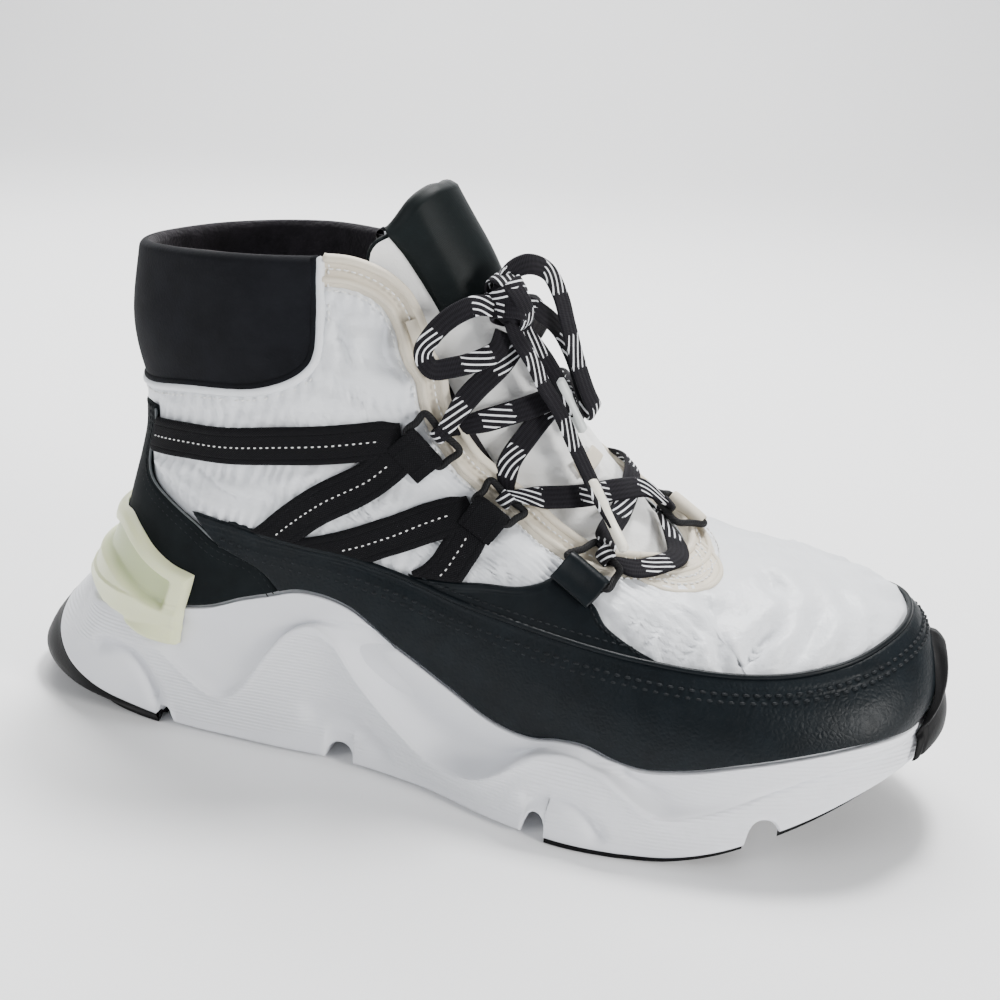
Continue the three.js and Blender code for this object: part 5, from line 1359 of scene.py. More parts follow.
def build_rand():
    nu, nv = ((600, 42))
    U, V = np.meshgrid(np.linspace(0, 1, nu + 1), np.linspace(0, 1, nv + 1), indexing="ij")
    f = np.where(U <= .5, U * 2, (1 - U) * 2)
    start = rim_t(np.array([.17]))[0] + .012
    back = start + (.440 - start) * V
    s0 = read(COUNTER_EDGE, back) + .0015 - .0065 * smooth((V - .5) / .3)
    s = s0 + (.5 - s0) * f
    bottom, top = rim_t(s) + .012, read(RAND_TOP, s)
    t = bottom + (top - bottom) * V
    S = np.where(U <= .5, s, 1 - s)
    P0 = skin(S, t, np.full(S.shape, .5))
    d = edge_distances(P0)
    e = d[3]
    end = np.minimum(d[0], d[1])
    h = .5 + 1.2 * dome(np.minimum(e, end), 1.2) * 1.0
    for at_mm, w in ((5.2, .55), (7.4, .55)):
        h = h - .28 * np.exp(-((e - at_mm) / w)**2)
    h = h + .35 * smooth((e - 2) / 3) * smooth((12 - e) / 4) * 0 + .15 * noise(P0 / 18, 6) * smooth(e / 6)
    h = h + .25 * smooth((e - 8) / 6)
    P = skin(S, t, h)
    under = skin(S, t, np.full(S.shape, .25))
    G = np.concatenate([under[:, :1], P, under[:, -1:]], 1)
    G = np.concatenate([np.concatenate([under[:1, :1], under[:1], under[:1, -1:]], 1), G, np.concatenate([under[-1:, :1], under[-1:], under[-1:, -1:]], 1)])
    parts = Parts()
    parts.grid(G, uv=None)
    ob = parts.make("rand_leather", MAT["leather"], "rand_leather")
    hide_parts("rand")
    pipe, threads = Parts(), Parts()
    s, t = rand_edge(1.0)
    P, s2, t2 = lane(s, t, 0 * s, 1.45)
    run = np.minimum(np.arange(len(s)), np.arange(len(s))[::-1])
    tube(pipe, P - last_normal(s2, t2) * (1.3 * (1 - smooth((run - 4) / 12)))[:, None], last_normal(s2, t2), .85, sides=8)
    inward = -1 if lane(s, t, 3.0 + 0 * s, 0.0)[0][100, 2] > P[100, 2] else 1
    for x in (5.2, 7.4):
        P2, s2, t2 = lane(s, t, inward * x + 0 * s, 1.45)
        stitches(threads, P2, last_normal(s2, t2), 3.0, 2.1, .46, .1)
    pipe.make("rand_piping", MAT["leather_smooth"], "rand_leather")
    threads.make("rand_stitches", MAT["thread_dark"], "thread_dark")


def build_wings():
    for name, flip in (("wing_lateral", False), ("wing_medial", True)):
        nu, nv = ((110, 56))
        U, V = np.meshgrid(np.linspace(0, 1, nu + 1), np.linspace(0, 1, nv + 1), indexing="ij")
        reach = 1.75 if flip else 1.0
        s = .232 + (read(WING_FRONT, V) - .232) * U * reach
        s_top = .232 + (.3235 - .232) * U
        bottom = read(RAND_TOP, s) + .004
        top = np.maximum(read(WING_TOP, s_top), bottom + .012)
        t = bottom + (top - bottom) * V
        S = 1 - s if flip else s
        P0 = skin(S, t, np.full(S.shape, .4))
        d = edge_distances(P0)
        e = np.minimum(d[3], d[1])
        h = .4 + 1.15 * dome(e, 1.2) - .2 * np.exp(-((e - 2.6) / .5)**2) + .15 * noise(P0 / 15, 6) * smooth(e / 5)
        P, under = skin(S, t, h), skin(S, t, np.full(S.shape, .15))
        G = np.concatenate([under[:, :1], P, under[:, -1:]], 1)
        G = np.concatenate([np.concatenate([under[:1, :1], under[:1], under[:1, -1:]], 1), G, np.concatenate([under[-1:, :1], under[-1:], under[-1:, -1:]], 1)])
        parts = Parts()
        parts.grid(G, flip=flip)
        ob = parts.make(name + "_leather", MAT["leather_smooth"], "rand_leather")
        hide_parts(name)
        threads = Parts()
        u = np.linspace(.05, .97, 60)
        s = .232 + (read(WING_FRONT, 0 * u + .12) - .232) * u * reach
        tt = read(RAND_TOP, s) + .004 + .022
        P = skin(1 - s if flip else s, tt, 1.6 + 0 * s)
        stitches(threads, P, last_normal(1 - s if flip else s, tt), 2.4, 1.6, .26, .05)
        v = np.linspace(.08, .92, 40)
        s = .232 + (read(WING_FRONT, v) - .232) * reach * .965
        s_top = .232 + (.3235 - .232) * .965
        b0 = read(RAND_TOP, s) + .004
        tt = b0 + (np.maximum(read(WING_TOP, 0 * v + s_top), b0 + .012) - b0) * v
        P = skin(1 - s if flip else s, tt, 1.55 + 0 * s)
        stitches(threads, P, last_normal(1 - s if flip else s, tt), 2.2, 1.5, .24, .05)
        threads.make(name + "_stitches", MAT["thread_dark"], "thread_dark")


def build_clip():
    nu, nv = ((240, 70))
    E = CLIP_END - .004
    u = np.linspace(-1, 1, nu + 1)
    s = E * np.sign(u) * (1 - (1 - np.abs(u))**1.15)
    f = fold(s)
    z0, z1 = read(CLIP_EDGE, f, 1), read(CLIP_EDGE, f, 2)
    V = np.broadcast_to(np.linspace(0, 1, nv + 1), (nu + 1, nv + 1))
    S = np.broadcast_to(s[:, None], V.shape)
    Z = z0[:, None] + (z1 - z0)[:, None] * V
    n = outline_normal(S)
    base = covered_face(S, Z, GAP + OVERLAY + .1)
    low, top = base + n * .3, None
    P0 = base + n * .6
    d = edge_distances(P0)
    end = np.minimum(d[0], d[1])
    edge = np.minimum(np.minimum(d[2], d[3]), end)
    # recessed channel between the thin top rim and the thick lower band, closed near the front ends
    ch = smooth((V - .43) / .07) * smooth((.86 - V) / .06) * smooth((end - 5.5) / 2.2)
    band = smooth((.52 - V) / .1)
    h = .6 + (CLIP - .2 + 1.1 * band) * dome(edge, 2.1) - 2.1 * ch
    P = base + n * h[..., None]
    G = np.concatenate([low[:, :1], P, low[:, -1:]], 1)
    G = np.concatenate([np.concatenate([low[:1, :1], low[:1], low[:1, -1:]], 1), G, np.concatenate([low[-1:, :1], low[-1:], low[-1:, -1:]], 1)])
    # the channel's mask is also stored on the mesh, where the clip's material uses it to paint shade into the recess
    A = np.pad(ch, 1, mode="edge")
    parts = Parts()
    parts.grid(G, attr=A)
    ob = parts.make("heel_clip_plastic", MAT["clip"], "heel_clip_plastic")
    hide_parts("heel_clip")


# ------------------------------------------------------------------ webbing and loops
def build_straps():
    for flip, side_name in ((False, "lateral"), (True, "medial")):
        for name in ("rear", "front"):
            parts, threads = Parts(), Parts()
            for path in STRAPS[name]:
                step = np.array(path[1]) - np.array(path[0])
                first = np.array(path[0]) - step * (13 / np.hypot(step[0] * 600, step[1] * 150))
                s, t = on_skin([tuple(first)] + list(path[1:]), pitch=1.0, flip=flip)
                rise = 1.3 if flip and name == "front" else .75
                n_along = len(s)
                run = np.arange(n_along) * 1.0
                to_end = run[-1] - run
                narrow = 1 - .22 * (1 - smooth(to_end / 6))
                prof = [(-5.75, 0), (-5.75, .7)] + [(x, 1.45 * float(dome(5.75 - abs(x), .55)) + .03) for x in np.linspace(-5.6, 5.6, 19)] + [(5.75, .7), (5.75, 0)]
                cols = []
                for x, h in prof:
                    P, s2, t2 = lane(s, t, x * narrow, 0.0)
                    f = fold(s2)
                    under = smooth((np.where(f > .144, read(RAND_TOP, np.clip(f, .144, .5)), 0) + .006 - t2) / .02)
                    under = np.maximum(under, smooth((read(COUNTER_EDGE, np.clip(t2, 0, .748)) + .002 - f) / .008) * (t2 < .75))
                    under = np.maximum(under, smooth((read(WING_TOP, np.clip(f, .229, .324)) + .006 - t2) / .016) * ((f > .229) & (f < .33)))
                    dip = 1.1 * (1 - smooth(to_end / 5)) * 0
                    cols.append((skin(s2, t2, (rise + h) * (1 - under) - .45 * under - dip), x))
                G = np.stack([c for c, x in cols], 1)
                uv = np.stack(np.broadcast_arrays(np.array([x for c, x in cols])[None], run[:, None]), -1)
                parts.grid(G, uv=uv, flip=True)
                P, s2, t2 = lane(s, t, 0 * s, rise + 1.5)
                f = fold(s2)
                seen = (t2 > np.where(f > .144, read(RAND_TOP, np.clip(f, .144, .5)), 0) + .016) & (f > read(COUNTER_EDGE, np.clip(t2, 0, .748)) + .008) & (to_end > 7) & ((f < .229) | (t2 > read(WING_TOP, np.clip(f, .229, .324)) + .012))
                k = np.where(seen)[0]
                if len(k) > 4:
                    stitches(threads, P[k], last_normal(s2, t2)[k], 2.05, .95, .22, .0)
            ob = parts.make(f"strap_{name}_{side_name}_webbing", MAT["webbing"], "webbing")
            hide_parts(f"strap_{name}_{side_name}")
            threads.make(f"strap_{name}_{side_name}_stitches", MAT["thread"], "thread_white")


def loop_path(name, per=12):
    a, b, c, d = (np.array(v) for v in LOOPS[name])
    m = lambda p, q: (p + q) / 2
    st = np.array([a, m(a, b), b, m(b, d), d, m(c, d), c, m(a, c)])
    return catmull(skin(st[:, 0], st[:, 1], np.full(8, LOOP_HEIGHT)), per, True)


def hold(name):
    a, b, c, d = (np.array(v) for v in LOOPS[name])
    q, r = (a + b) / 2, (c + d) / 2
    at = lambda p: skin(np.array([p[0]]), np.array([p[1]]), np.array([LOOP_HEIGHT]))[0]
    n = last_normal(np.array([q[0]]), np.array([q[1]]))[0]
    A = at(q)
    along = unit(at(b) - at(a))
    into = unit(np.cross(along, n))
    if into @ (at(r) - A) < 0:
        into = -into
    return A, n, along, into


def build_loops():
    for name in LOOPS:
        parts = Parts()
        P = loop_path(name)
        A, n, along, into = hold(name)
        tube(parts, P, np.broadcast_to(n, P.shape), LOOP_CORD / 2, sides=12, closed=True)
        ob = parts.make(f"lace_loop_{name}_cord", MAT["cord"], "loop_cord")
        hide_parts(f"lace_loop_{name}")
        # the fold that holds the cord: webbing, or the wing's leather on the lowest one
        c, d = (np.array(v) for v in LOOPS[name][2:])
        at = lambda p: skin(np.array([p[0]]), np.array([p[1]]), np.array([LOOP_HEIGHT]))[0]
        C, Dp = at(c), at(d)
        r = (c + d) / 2
        n = last_normal(np.array([r[0]]), np.array([r[1]]))[0]
        w = unit(Dp - C)
        out = unit(np.cross(w, n))
        mid = (C + Dp) / 2
        if out @ (A - mid) < 0:
            out = -out
        leather = name.endswith("3")
        R = LOOP_CORD / 2 + .75
        prof = [(-8, -1.75), (-6, -1.3), (-4, -.4), (-2.0, 1.0)] + [(R * math.sin(k), R * math.cos(k)) for k in np.linspace(-.25, 3.0, 9)] + [(-1.6, -2.0), (-3.5, -2.3), (-6, -2.5)]
        p2 = catmull(np.array(prof), 4)
        P = mid + out * p2[:, :1] + n * p2[:, 1:]
        t = tangents(P)
        M = np.cross(t, np.broadcast_to(w, t.shape))
        tab = Parts()
        wide = np.linalg.norm(Dp - C) - (1.2 if leather else .4)
        ribbon(tab, P, np.broadcast_to(w, P.shape), M, wide, 1.0, n_across=12)
        pale = name == "medial_3"
        tab.make(f"loop_tab_{name}", MAT["cream" if pale else "leather_smooth" if leather else "webbing"], "eyestay_synthetic" if pale else "rand_leather" if leather else "webbing")


# ------------------------------------------------------------------ laces
TURN = LOOP_CORD / 2 + GAP + .3 + LACE_THICK / 2
BUNCHED = 4.6


def knot_frame():
    n = last_normal(np.array([.45]), np.array([.92]))[0]
    across = unit(np.cross([0, 0, 1.0], n))
    return n, across, np.cross(n, across)


def build_crossings():
    parts = Parts()
    kn, kx, ku = knot_frame()
    for k, (key, (start, stop, via)) in enumerate(STRANDS.items()):
        pts, ns, ws, wide = [], [], [], []
        def end(e):
            A, n, along, into = hold(e[0])
            pts.append(A + n * e[1] * TURN)
            ns.append(n)
            ws.append(along)
            wide.append(BUNCHED)
        end(start)
        for s, t, h in via:
            pts.append(skin(np.array([s]), np.array([t]), np.array([h]))[0])
            ns.append(last_normal(np.array([s]), np.array([t]))[0])
            ws.append(None)
            wide.append(LACE_WIDTH)
        if stop:
            end(stop)
        else:
            pts.append(KNOT)
            ns.append(kn)
            ws.append(None)
            wide.append(LACE_WIDTH - 2)
        per = 10
        P = catmull(np.array(pts), per)
        D = tangents(P)
        u = np.arange(len(P)) / per
        i = np.minimum(len(pts) - 2, u.astype(int))
        f = u - i
        N = unit(np.array(ns)[i] * (1 - f)[:, None] + np.array(ns)[i + 1] * f[:, None])
        W = unit(np.cross(N, D))
        for j in range(len(P)):
            for e, g in ((i[j], 1 - f[j]), (i[j] + 1, f[j])):
                if ws[e] is not None and g > 0:
                    sg = -1 if ws[e] @ W[j] < 0 else 1
                    W[j] = unit(W[j] * (1 - g) + ws[e] * g * sg)
        width = np.array(wide)[i] * (1 - smooth(f)) + np.array(wide)[i + 1] * smooth(f)
        n_before = len(parts.U)
        ribbon(parts, P, W, N, width, LACE_THICK + .15)
        parts.U[-1] = parts.U[-1] + np.array([0, 5.7 * k])
    for k, name in enumerate(LOOPS):
        A, n, along, into = hold(name)
        if np.cross(along, n) @ into < 0:
            along = -along
        w = np.pi * np.clip(np.arange(-1, 22) / 20.0, 0, 1)
        back = np.where((np.arange(-1, 22) < 0) | (np.arange(-1, 22) > 20), -.6, 0)
        radial = n * np.cos(w)[:, None] + into * np.sin(w)[:, None]
        P = A + radial * TURN + into * back[:, None]
        ribbon(parts, P, np.broadcast_to(along, P.shape), radial, BUNCHED, LACE_THICK + .15)
        parts.U[-1] = parts.U[-1] + np.array([0, 3.1 * k])
    ob = parts.make("lace_crossings_weave", MAT["lace"], "lace_polyester")
    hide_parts("lace_crossings")


def ring_band(parts, centre, u, v, ru, rv, width, start=0.0, turns=1.0, drift=None, off=0.0):
    a = start + np.linspace(0, 2 * np.pi * turns, int(64 * turns))
    P = centre + u * (ru * np.cos(a))[:, None] + v * (rv * np.sin(a))[:, None]
    if drift is not None:
        P = P + drift * np.linspace(-.5, .5, len(a))[:, None]
    M = unit(u * (np.cos(a) / ru)[:, None] + v * (np.sin(a) / rv)[:, None])
    W = unit(np.cross(M, tangents(P)))
    ribbon(parts, P, W, M, width, LACE_THICK + .2)
    parts.U[-1] = parts.U[-1] + np.array([0, off])


def build_knot():
    n, x, u = knot_frame()
    parts = Parts()
    t = math.radians(24)
    a1, b1 = x * math.cos(t) + u * math.sin(t), u * math.cos(t) - x * math.sin(t)
    # core, then the bands that cross over it
    th = np.linspace(.12, np.pi - .12, 17)
    ph = np.linspace(0, 2 * np.pi, 29)
    G = KNOT + x * (np.sin(th)[None] * np.cos(ph)[:, None] * 5.2)[..., None] + u * (np.sin(th)[None] * np.sin(ph)[:, None] * 7.2)[..., None] + n * (np.cos(th)[None] * 4.0 + 0 * ph[:, None])[..., None]
    parts.grid(G, flip=True)
    ring_band(parts, KNOT + u * 2.6, a1, n, 5.6, 4.6, 6.0, 2.2, 1.0, None, 2.0)
    ring_band(parts, KNOT - u * 3.2 - x * .4, x * math.cos(-.3) + u * math.sin(-.3), n, 5.3, 4.3, 5.6, 2.4, 1.0, None, 9.0)
    ring_band(parts, KNOT + x * .6, b1, n, 8.1, 4.9, 6.2, 1.1, 1.0, None, 15.0)
    ob = parts.make("lace_knot_weave", MAT["lace"], "lace_polyester")
    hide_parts("lace_knot")


def free_ribbon(parts, points, wide, end_wide, per=12, off=0.0, twist=0.0):
    C = catmull(np.array(points, float), per)
    C, length = resample(C, .8)
    D = tangents(C)
    out = np.array([.78, -.5, .38])
    W, w = [], None
    for k in range(len(C)):
        x = np.cross(out, D[k])
        if w is None:
            w = unit(x)
        elif np.linalg.norm(x) > .55:
            ux = unit(x)
            w = unit(w * .85 + ux * (1 if ux @ w >= 0 else -1) * .15)
        w = unit(w - D[k] * (w @ D[k]))
        W.append(w)
    W = np.array(W)
    M = np.cross(D, W)
    f = np.linspace(0, 1, len(C))
    width = wide + (end_wide - wide) * smooth((f - .8) / .2)
    ribbon(parts, C, W, M, width, LACE_THICK + .15)
    parts.U[-1] = parts.U[-1] + np.array([0, off])
    return C, length


def build_cords():
    n, x, u = knot_frame()
    for k, (name, pts) in enumerate(CORDS.items()):
        bow = "bow" in name
        parts = Parts()
        pts = [np.array(p) for p in pts]
        if not bow:
            # the lace runs on inside its tip
            tip = np.array(AGLETS["aglet_" + name[-1]])
            inner = [tip[0] + (tip[1] - tip[0]) * .5, tip[1], tip[1] + (tip[2] - tip[1]) * .6]
            pts = pts + [tip[0]] + inner
        C, length = free_ribbon(parts, pts, LACE_WIDTH - 1 if bow else 5.5, LACE_WIDTH - 1 if bow else 2.6, off=6.3 * k)
        ob = parts.make(name + "_weave", MAT["lace"], "lace_polyester")
        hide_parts(name)
        if bow:
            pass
        else:
            tip_ob = build_aglet("aglet_" + name[-1])


def build_aglet(name):
    C = catmull(np.array(AGLETS[name], float), 10)
    C, _ = resample(C, .6)
    parts = Parts()
    f = np.linspace(0, 1, len(C))
    r = 1.85 - .35 * smooth(f) + .12 * np.sin(f * 9)
    tube(parts, C, np.broadcast_to(np.array([.78, -.5, .38]), C.shape), r, sides=14)
    ob = parts.make(name + "_film", MAT["aglet" if name.endswith("1") else "aglet_grey"], "aglet_plastic")
    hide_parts(name)
    return ob


# ------------------------------------------------------------------ sole
def crescent(x, z, pts, width):
    """1 on a line in the side view, fading over width mm"""
    C = catmull(np.array(pts, float), 10)
    d = np.full(x.shape, 1e9)
    for p in C:
        d = np.minimum(d, (x - p[0])**2 + (z - p[1])**2)
    return np.exp(-d / width**2)


def build_midsole():
    n = 780
    xs = SOLE_BACK + SOLE_LENGTH * (1 - np.cos(np.linspace(0, np.pi, n // 2 + 1))) / 2
    extra = [a + k * w for a, b, r in NOTCHES for a_, w in ((a, 1), ) for k in (0,)]
    cuts = sorted([a - .25 for a, b, r in NOTCHES] + [a + .25 for a, b, r in NOTCHES] + [b - .25 for a, b, r in NOTCHES] + [b + .25 for a, b, r in NOTCHES] + [50.4, 50.6, 183.5, 183.7])
    xs = np.array(sorted(list(xs[(np.abs(xs[:, None] - np.array(cuts)[None]).min(1) > .3)]) + cuts))
    s = np.arccos(np.clip(1 - 2 * (xs - SOLE_BACK) / SOLE_LENGTH, -1, 1)) / (2 * np.pi)
    S = np.concatenate([s, 1 - s[1:-1][::-1]])
    sec = midsole_section(S)
    # fine rows: smooth through the outer face, straight elsewhere
    face = sec[:, 2:9]
    counts = (6, 10, 10, 9, 8, 9)
    rows = [sec[:, 0], sec[:, 0] * .5 + sec[:, 1] * .5, sec[:, 1], sec[:, 1] * .5 + sec[:, 2] * .5]
    kinds = [0] * 4
    for k in range(6):
        p0 = face[:, max(k - 1, 0)]
        p1, p2 = face[:, k], face[:, k + 1]
        p3 = face[:, min(k + 2, 6)]
        m1, m2 = (p2 - p0) / 2, (p3 - p1) / 2
        # Catmull-Rom slopes from the neighbouring rows
        for j in range(counts[k] * (2)):
            u = j / (counts[k] * 2)
            rows.append((2*u**3 - 3*u**2 + 1)*p1 + (u**3 - 2*u**2 + u)*m1 + (-2*u**3 + 3*u**2)*p2 + (u**3 - u**2)*m2)
            kinds.append(1 if k < 3 else 2 if k == 3 else 3)
    rows += [sec[:, 8], sec[:, 8] * .5 + sec[:, 9] * .5, sec[:, 9], sec[:, 10], sec[:, 11]]
    kinds += [3, 0, 0, 0, 0]
    P = np.stack(rows, 1)
    kind = np.array(kinds)
    nrm = outline_normal(S)
    x, z = P[..., 0], P[..., 2]
    crest_z = sec[:, 5, 2][:, None]
    f = np.clip((z - sec[:, 2, 2][:, None]) / (crest_z - sec[:, 2, 2][:, None]), 0, 1.2)
    lower = (kind[None] == 1) & (f < 1)
    # pressed crescents
    g = 3.4 * crescent(x, z, [(30, 24.5), (36, 25.5), (42, 24), (46.5, 19.5), (50, 12.6), (51.5, 7)], 2.1) * smooth((z - 5) / 5)
    g = g + 1.2 * crescent(x, z, [(51, 27.5), (55.5, 21), (58, 13.5), (59.5, 5)], 3.2) * 0
    g = g + 2.4 * crescent(x, z, [(105, 16.2), (111, 17.5), (117, 17), (123, 14), (128.5, 9.2)], 3.2)
    g = g + 2.4 * crescent(x, z, [(178, 12.2), (184, 13.6), (190, 13.4), (195.5, 10.5), (199, 6.4)], 2.1)
    ks = np.arange(P.shape[1])[None]
    step = read(CREST, np.clip(x, -8, 292), 3)
    zc = crest_z
    rimz = sec[:, 8, 2][:, None]
    hollow = np.exp(-(((z - zc) / np.maximum(rimz - zc, 4) - .36) / .26)**2) * (z > zc)
    g = g + 1.9 * hollow * smooth((step - 1.4) / 2.2)
    lip = np.exp(-((z - zc + 1.2) / 2.4)**2)
    g = g - .9 * lip * smooth((step - 1.2) / 2)
    face_rows = (kind[None] > 0) & np.ones_like(x, bool)
    P = P - nrm[:, None] * np.where(face_rows, g, 0)[..., None]
    pod = np.clip(1 - (((x - 30) / 22)**2 + ((z - 14) / 11)**2), 0, 1)
    ribs = lower * smooth((f - .10) / .08) * smooth((.98 - f) / .05) * (1 - smooth(pod * 4)) * (1 - smooth(g / .6) * .5)
    band = (kind[None] >= 3) & (x > 196)
    mask = np.maximum(ribs, band * .6)
    G = np.concatenate([P, P[:1]])
    A = np.concatenate([mask, mask[:1]])
    uv = np.stack([x, z], -1)
    UV = np.concatenate([uv, uv[:1]])
    # close the tread side and the footbed across the middle
    parts = Parts()
    def across(edge, k):
        q = edge.copy()
        mirror_y = np.interp(q[:, 0], xs, (np.interp(xs, xs, edge[:len(xs), 1]) + np.interp(xs, xs, np.concatenate([edge[:1, 1], edge[len(xs):, 1][::-1], edge[len(xs) - 1:len(xs), 1]]))) / 2)
        q[:, 1] = mirror_y + (q[:, 1] - mirror_y) * k
        return q
    bottom = [across(sec[:, 0], k) for k in (.001, .35, .7)]
    bed = [across(sec[:, 11], k) for k in (.7, .35, .001)]
    G2 = np.concatenate([np.stack(bottom, 1), P, np.stack(bed, 1)], 1)
    A2 = np.pad(mask, ((0, 0), (3, 3)))
    UV2 = np.concatenate([np.stack([G2[:, :3, 0], G2[:, :3, 2]], -1), uv, np.stack([G2[:, -3:, 0], G2[:, -3:, 2]], -1)], 1)
    parts.grid(np.concatenate([G2, G2[:1]]), attr=np.concatenate([A2, A2[:1]]), uv=np.concatenate([UV2, UV2[:1]]))
    ob = parts.make("midsole_moulded", MAT["foam"], "midsole_foam")
    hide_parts("midsole")


def sole_s(x):
    return np.arccos(np.clip(1 - 2 * (x - SOLE_BACK) / SOLE_LENGTH, -1, 1)) / (2 * np.pi)


def build_rubber():
    for name, x0, x1, grooves, turn in (("outsole_heel", -8, 50.4, (9, 20, 31, 42), .22), ("outsole_fore", 183.7, 239.8, (194, 205, 216, 228), -.12), ("outsole_toe", 249.2, 292, (258, 269, 279), -.12)):
        parts = Parts()
        heel = name == "outsole_heel"
        x = x0 + (x1 - x0) * (np.sin(np.linspace(-np.pi / 2, np.pi / 2, 121)) * .5 + .5)
        s = sole_s(x)
        tuck = 0 * s if heel else np.full(len(s), .9)
        L, M = side_on(s, 0 * s, tuck), side_on(1 - s, 0 * s, tuck)
        v = np.linspace(0, 1, 47)
        B = L[:, None] * (1 - v)[None, :, None] + M[:, None] * v[None, :, None]
        along = B[..., 0] * math.cos(turn) + B[..., 1] * math.sin(turn)
        wide = np.linalg.norm(M - L, axis=-1)[:, None]
        edge = np.minimum(v, 1 - v)[None] * wide
        cut = 0 * along
        for g in grooves:
            cut = np.maximum(cut, smooth((1.7 - np.abs(along - g * math.cos(turn))) / .6))
        for y in (-14, 8):
            cut = np.maximum(cut, smooth((1.4 - np.abs(B[..., 1] - y)) / .6))
        cut = cut * smooth((edge - 1.2) / .8)
        B[..., 2] = tread(B[..., 0]) + 1.7 * cut
        lift = B[:1].copy(), B[-1:].copy()
        for q in lift:
            q[..., 2] = tread(q[..., 0]) + OUTSOLE
        body = ([lift[0]] if not heel else []) + [B] + ([lift[1]] if name != "outsole_toe" else [])
        parts.grid(np.concatenate(body), flip=True)
        # walls round the edge
        if heel:
            sw = np.concatenate([s[::-1], 1 - s[1:]])
            sw[len(s) - 1:] = np.where(sw[len(s) - 1:] >= 1, 1.0, sw[len(s) - 1:])
            runs = [np.concatenate([s[::-1], -s[1:]])]
        elif name == "outsole_toe":
            runs = [np.concatenate([s, 1 - s[::-1][1:]])]
        else:
            runs = [s, 1 - s[::-1]]
        for w in runs:
            up = (bumper_top(w) - tread(outline(w)[:, 0])) if heel else np.full(len(w), OUTSOLE - .6)
            tk = np.zeros(len(w)) if heel else np.full(len(w), .9)
            rows = [side_on(w, up * f, tk) for f in np.linspace(0, 1, 9)]
            # a rounded top edge, then in under the foam
            top = rows[-1]
            n = outline_normal(w)
            round_in = [top + n * (-.8 * (1 - math.cos(a))) + np.array([0, 0, .6 * math.sin(a)]) for a in np.linspace(.3, math.pi / 2, 5)]
            deep = [round_in[-1] - n * (BUMPER + 1.2)]
            parts.grid(np.stack(rows + round_in + deep, 1))
        if name == "outsole_toe":
            u = np.linspace(-1, 1, 121)
            v = np.linspace(0, 1, 61)
            S = .5 + u[:, None] * (.045 - .012 * v)
            top = herm([0, .35, .75, 1], [57, 55, 49, 43], np.abs(u))
            start = tread(outline(S[:, 0])[:, 0]) + 1.2
            Z = start[:, None] + (top - start)[:, None] * v
            base = covered_face(S, Z, GAP + OVERLAY + .1)
            plain = skin(S, height_t(S, Z), GAP + OVERLAY + .1)
            plain[..., 2] = Z
            off = ((base - plain) * outline_normal(S)).sum(-1)
            n = outline_normal(S)
            d = edge_distances(base)
            e = np.minimum(np.minimum(d[0], d[1]), d[3])
            h = .9 + 2.0 * dome(e, 2.0) * (1 - .75 * smooth(off / 3)) - .3 * np.exp(-((e - 3.4) / .6)**2)
            out = ((base - outline(S)) * n).sum(-1) + h
            arc = (out[:, None, :] - .05 * (Z[:, :, None] - Z[:, None, :])**2).max(-1)
            h = h + (arc - out) * smooth((e - 1) / 3)
            G = base + n * h[..., None]
            low = base + n * .7
            G = np.concatenate([G, low[:, -1:]], 1)
            G = np.concatenate([np.concatenate([low[:1], low[:1, -1:]], 1), G, np.concatenate([low[-1:], low[-1:, -1:]], 1)])
            parts.grid(G)
        ob = parts.make(name + "_rubber", MAT["rubber"], "outsole_rubber")
        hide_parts(name)


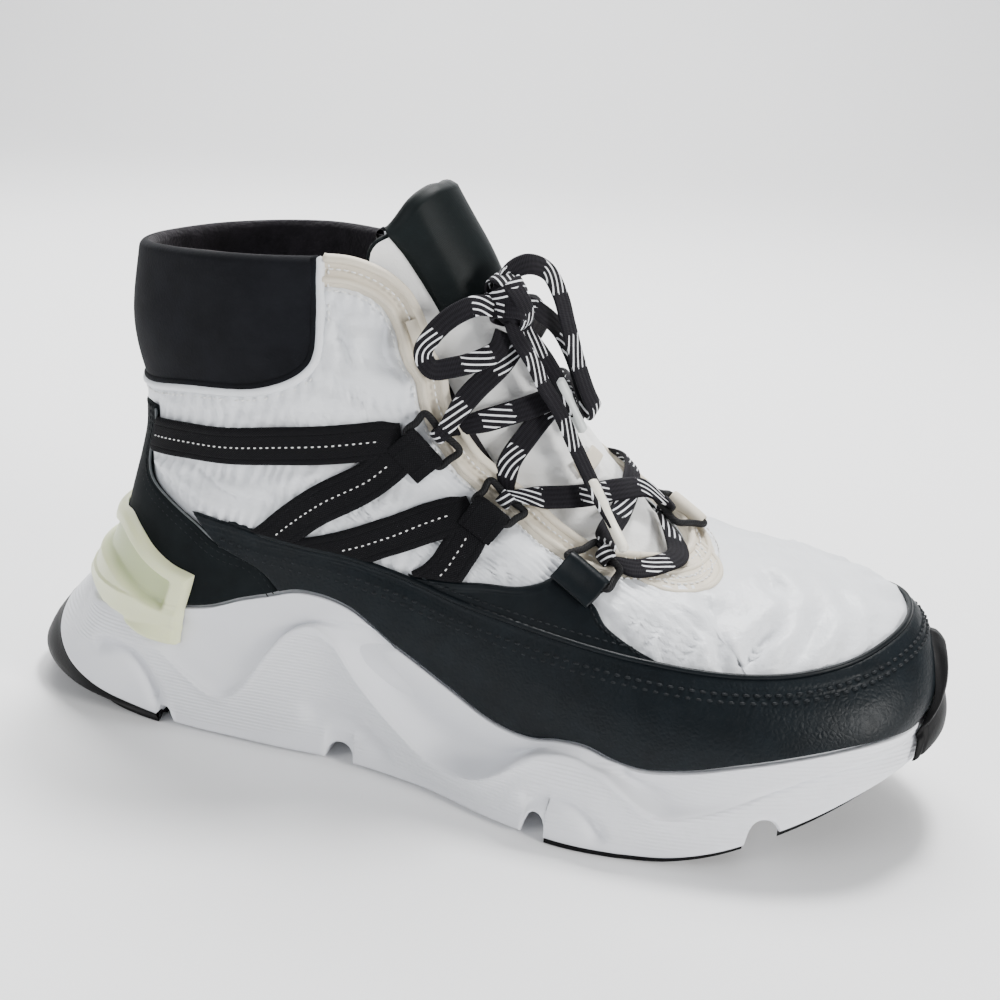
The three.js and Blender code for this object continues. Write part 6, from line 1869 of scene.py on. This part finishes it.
# ------------------------------------------------------------------ floor and light
def build_stage():
    me = bpy.data.meshes.new("floor")
    ahead, aside = np.array([-.227, .974, 0]), np.array([.974, .227, 0])
    run = [(v, 0.0) for v in np.linspace(-3, 1.5, 10)] + [(1.5 + .9 * math.sin(w), .9 - .9 * math.cos(w)) for w in np.linspace(.08, math.pi / 2, 20)] + [(2.4, 3.5)]
    verts = [tuple(ahead * v + aside * w + np.array([0, 0, z])) for v, z in run for w in (-4.0, 4.0)]
    me.from_pydata(verts, [], [(2 * q, 2 * q + 1, 2 * q + 3, 2 * q + 2) for q in range(len(run) - 1)])
    me.polygons.foreach_set("use_smooth", [True] * len(me.polygons))
    floor = bpy.data.objects.new("floor", me)
    k = Look("floor_pale", (.93, .93, .935), .65, spec=.2)
    k.paint(k.vary(400, .01))
    me.materials.append(k.m)
    bpy.context.scene.collection.objects.link(floor)
    floor.location.z = -.0004
    stage = [floor]
    def area(name, at, aim, size, power, colour=(1, 1, 1)):
        li = bpy.data.lights.new(name, "AREA")
        li.shape, li.size, li.energy, li.color = "DISK", size, power, colour
        ob = bpy.data.objects.new(name, li)
        at, aim = np.array(at, float), np.array(aim, float)
        b = unit(at - aim)
        r = unit(np.cross([0, 0, 1.0], b))
        u = np.cross(b, r)
        ob.matrix_world = Matrix([[r[i], u[i], b[i], at[i]] for i in range(3)] + [[0, 0, 0, 1]])
        bpy.context.scene.collection.objects.link(ob)
        return ob
    area("key", (.1, .35, 1.15), (0, 0, .06), .24, 15)
    area("front", (1.2, -.5, .5), (.04, 0, .07), .4, 17, (1, .99, .97))
    area("fill", (-.8, -1.0, .75), (0, 0, .07), .8, 8, (.97, .985, 1))
    area("back", (-.5, .7, .8), (0, 0, .06), .7, 6)
    area("far", (-.2, 1.0, 1.9), (-.4, 2.0, .1), 1.4, 58)
    world = bpy.data.worlds.new("world")
    bpy.context.scene.world = world
    world.use_nodes = True
    world.node_tree.nodes["Background"].inputs[0].default_value = (.95, .97, 1, 1)
    world.node_tree.nodes["Background"].inputs[1].default_value = .30


k = Look("leather_smooth_grain", (.0034, .0055, .0072), .38, spec=.15, coat=.02, coat_rough=.3)
k.paint(k.vary(9, .2)).roughness(k.noise(4, 3) * .2 + .32).bump((k.noise(.8, 2), .05), (k.noise(5, 2), .12))
MAT["leather_smooth"] = k.m
k = Look("edge_grey", (.09, .10, .105), .5, spec=.3)
k.paint(k.vary(5, .2)).bump((k.noise(.6, 2), .04))
MAT["grey_edge"] = k.m

build_cords()
build_knot()
build_crossings()
build_loops()
build_upper()
build_lining()
build_collar()
build_eyestay()
build_patch()
build_tongue()
build_insole()
build_counter()
build_rand()
build_wings()
build_clip()
build_straps()
build_midsole()
build_rubber()
build_stage()
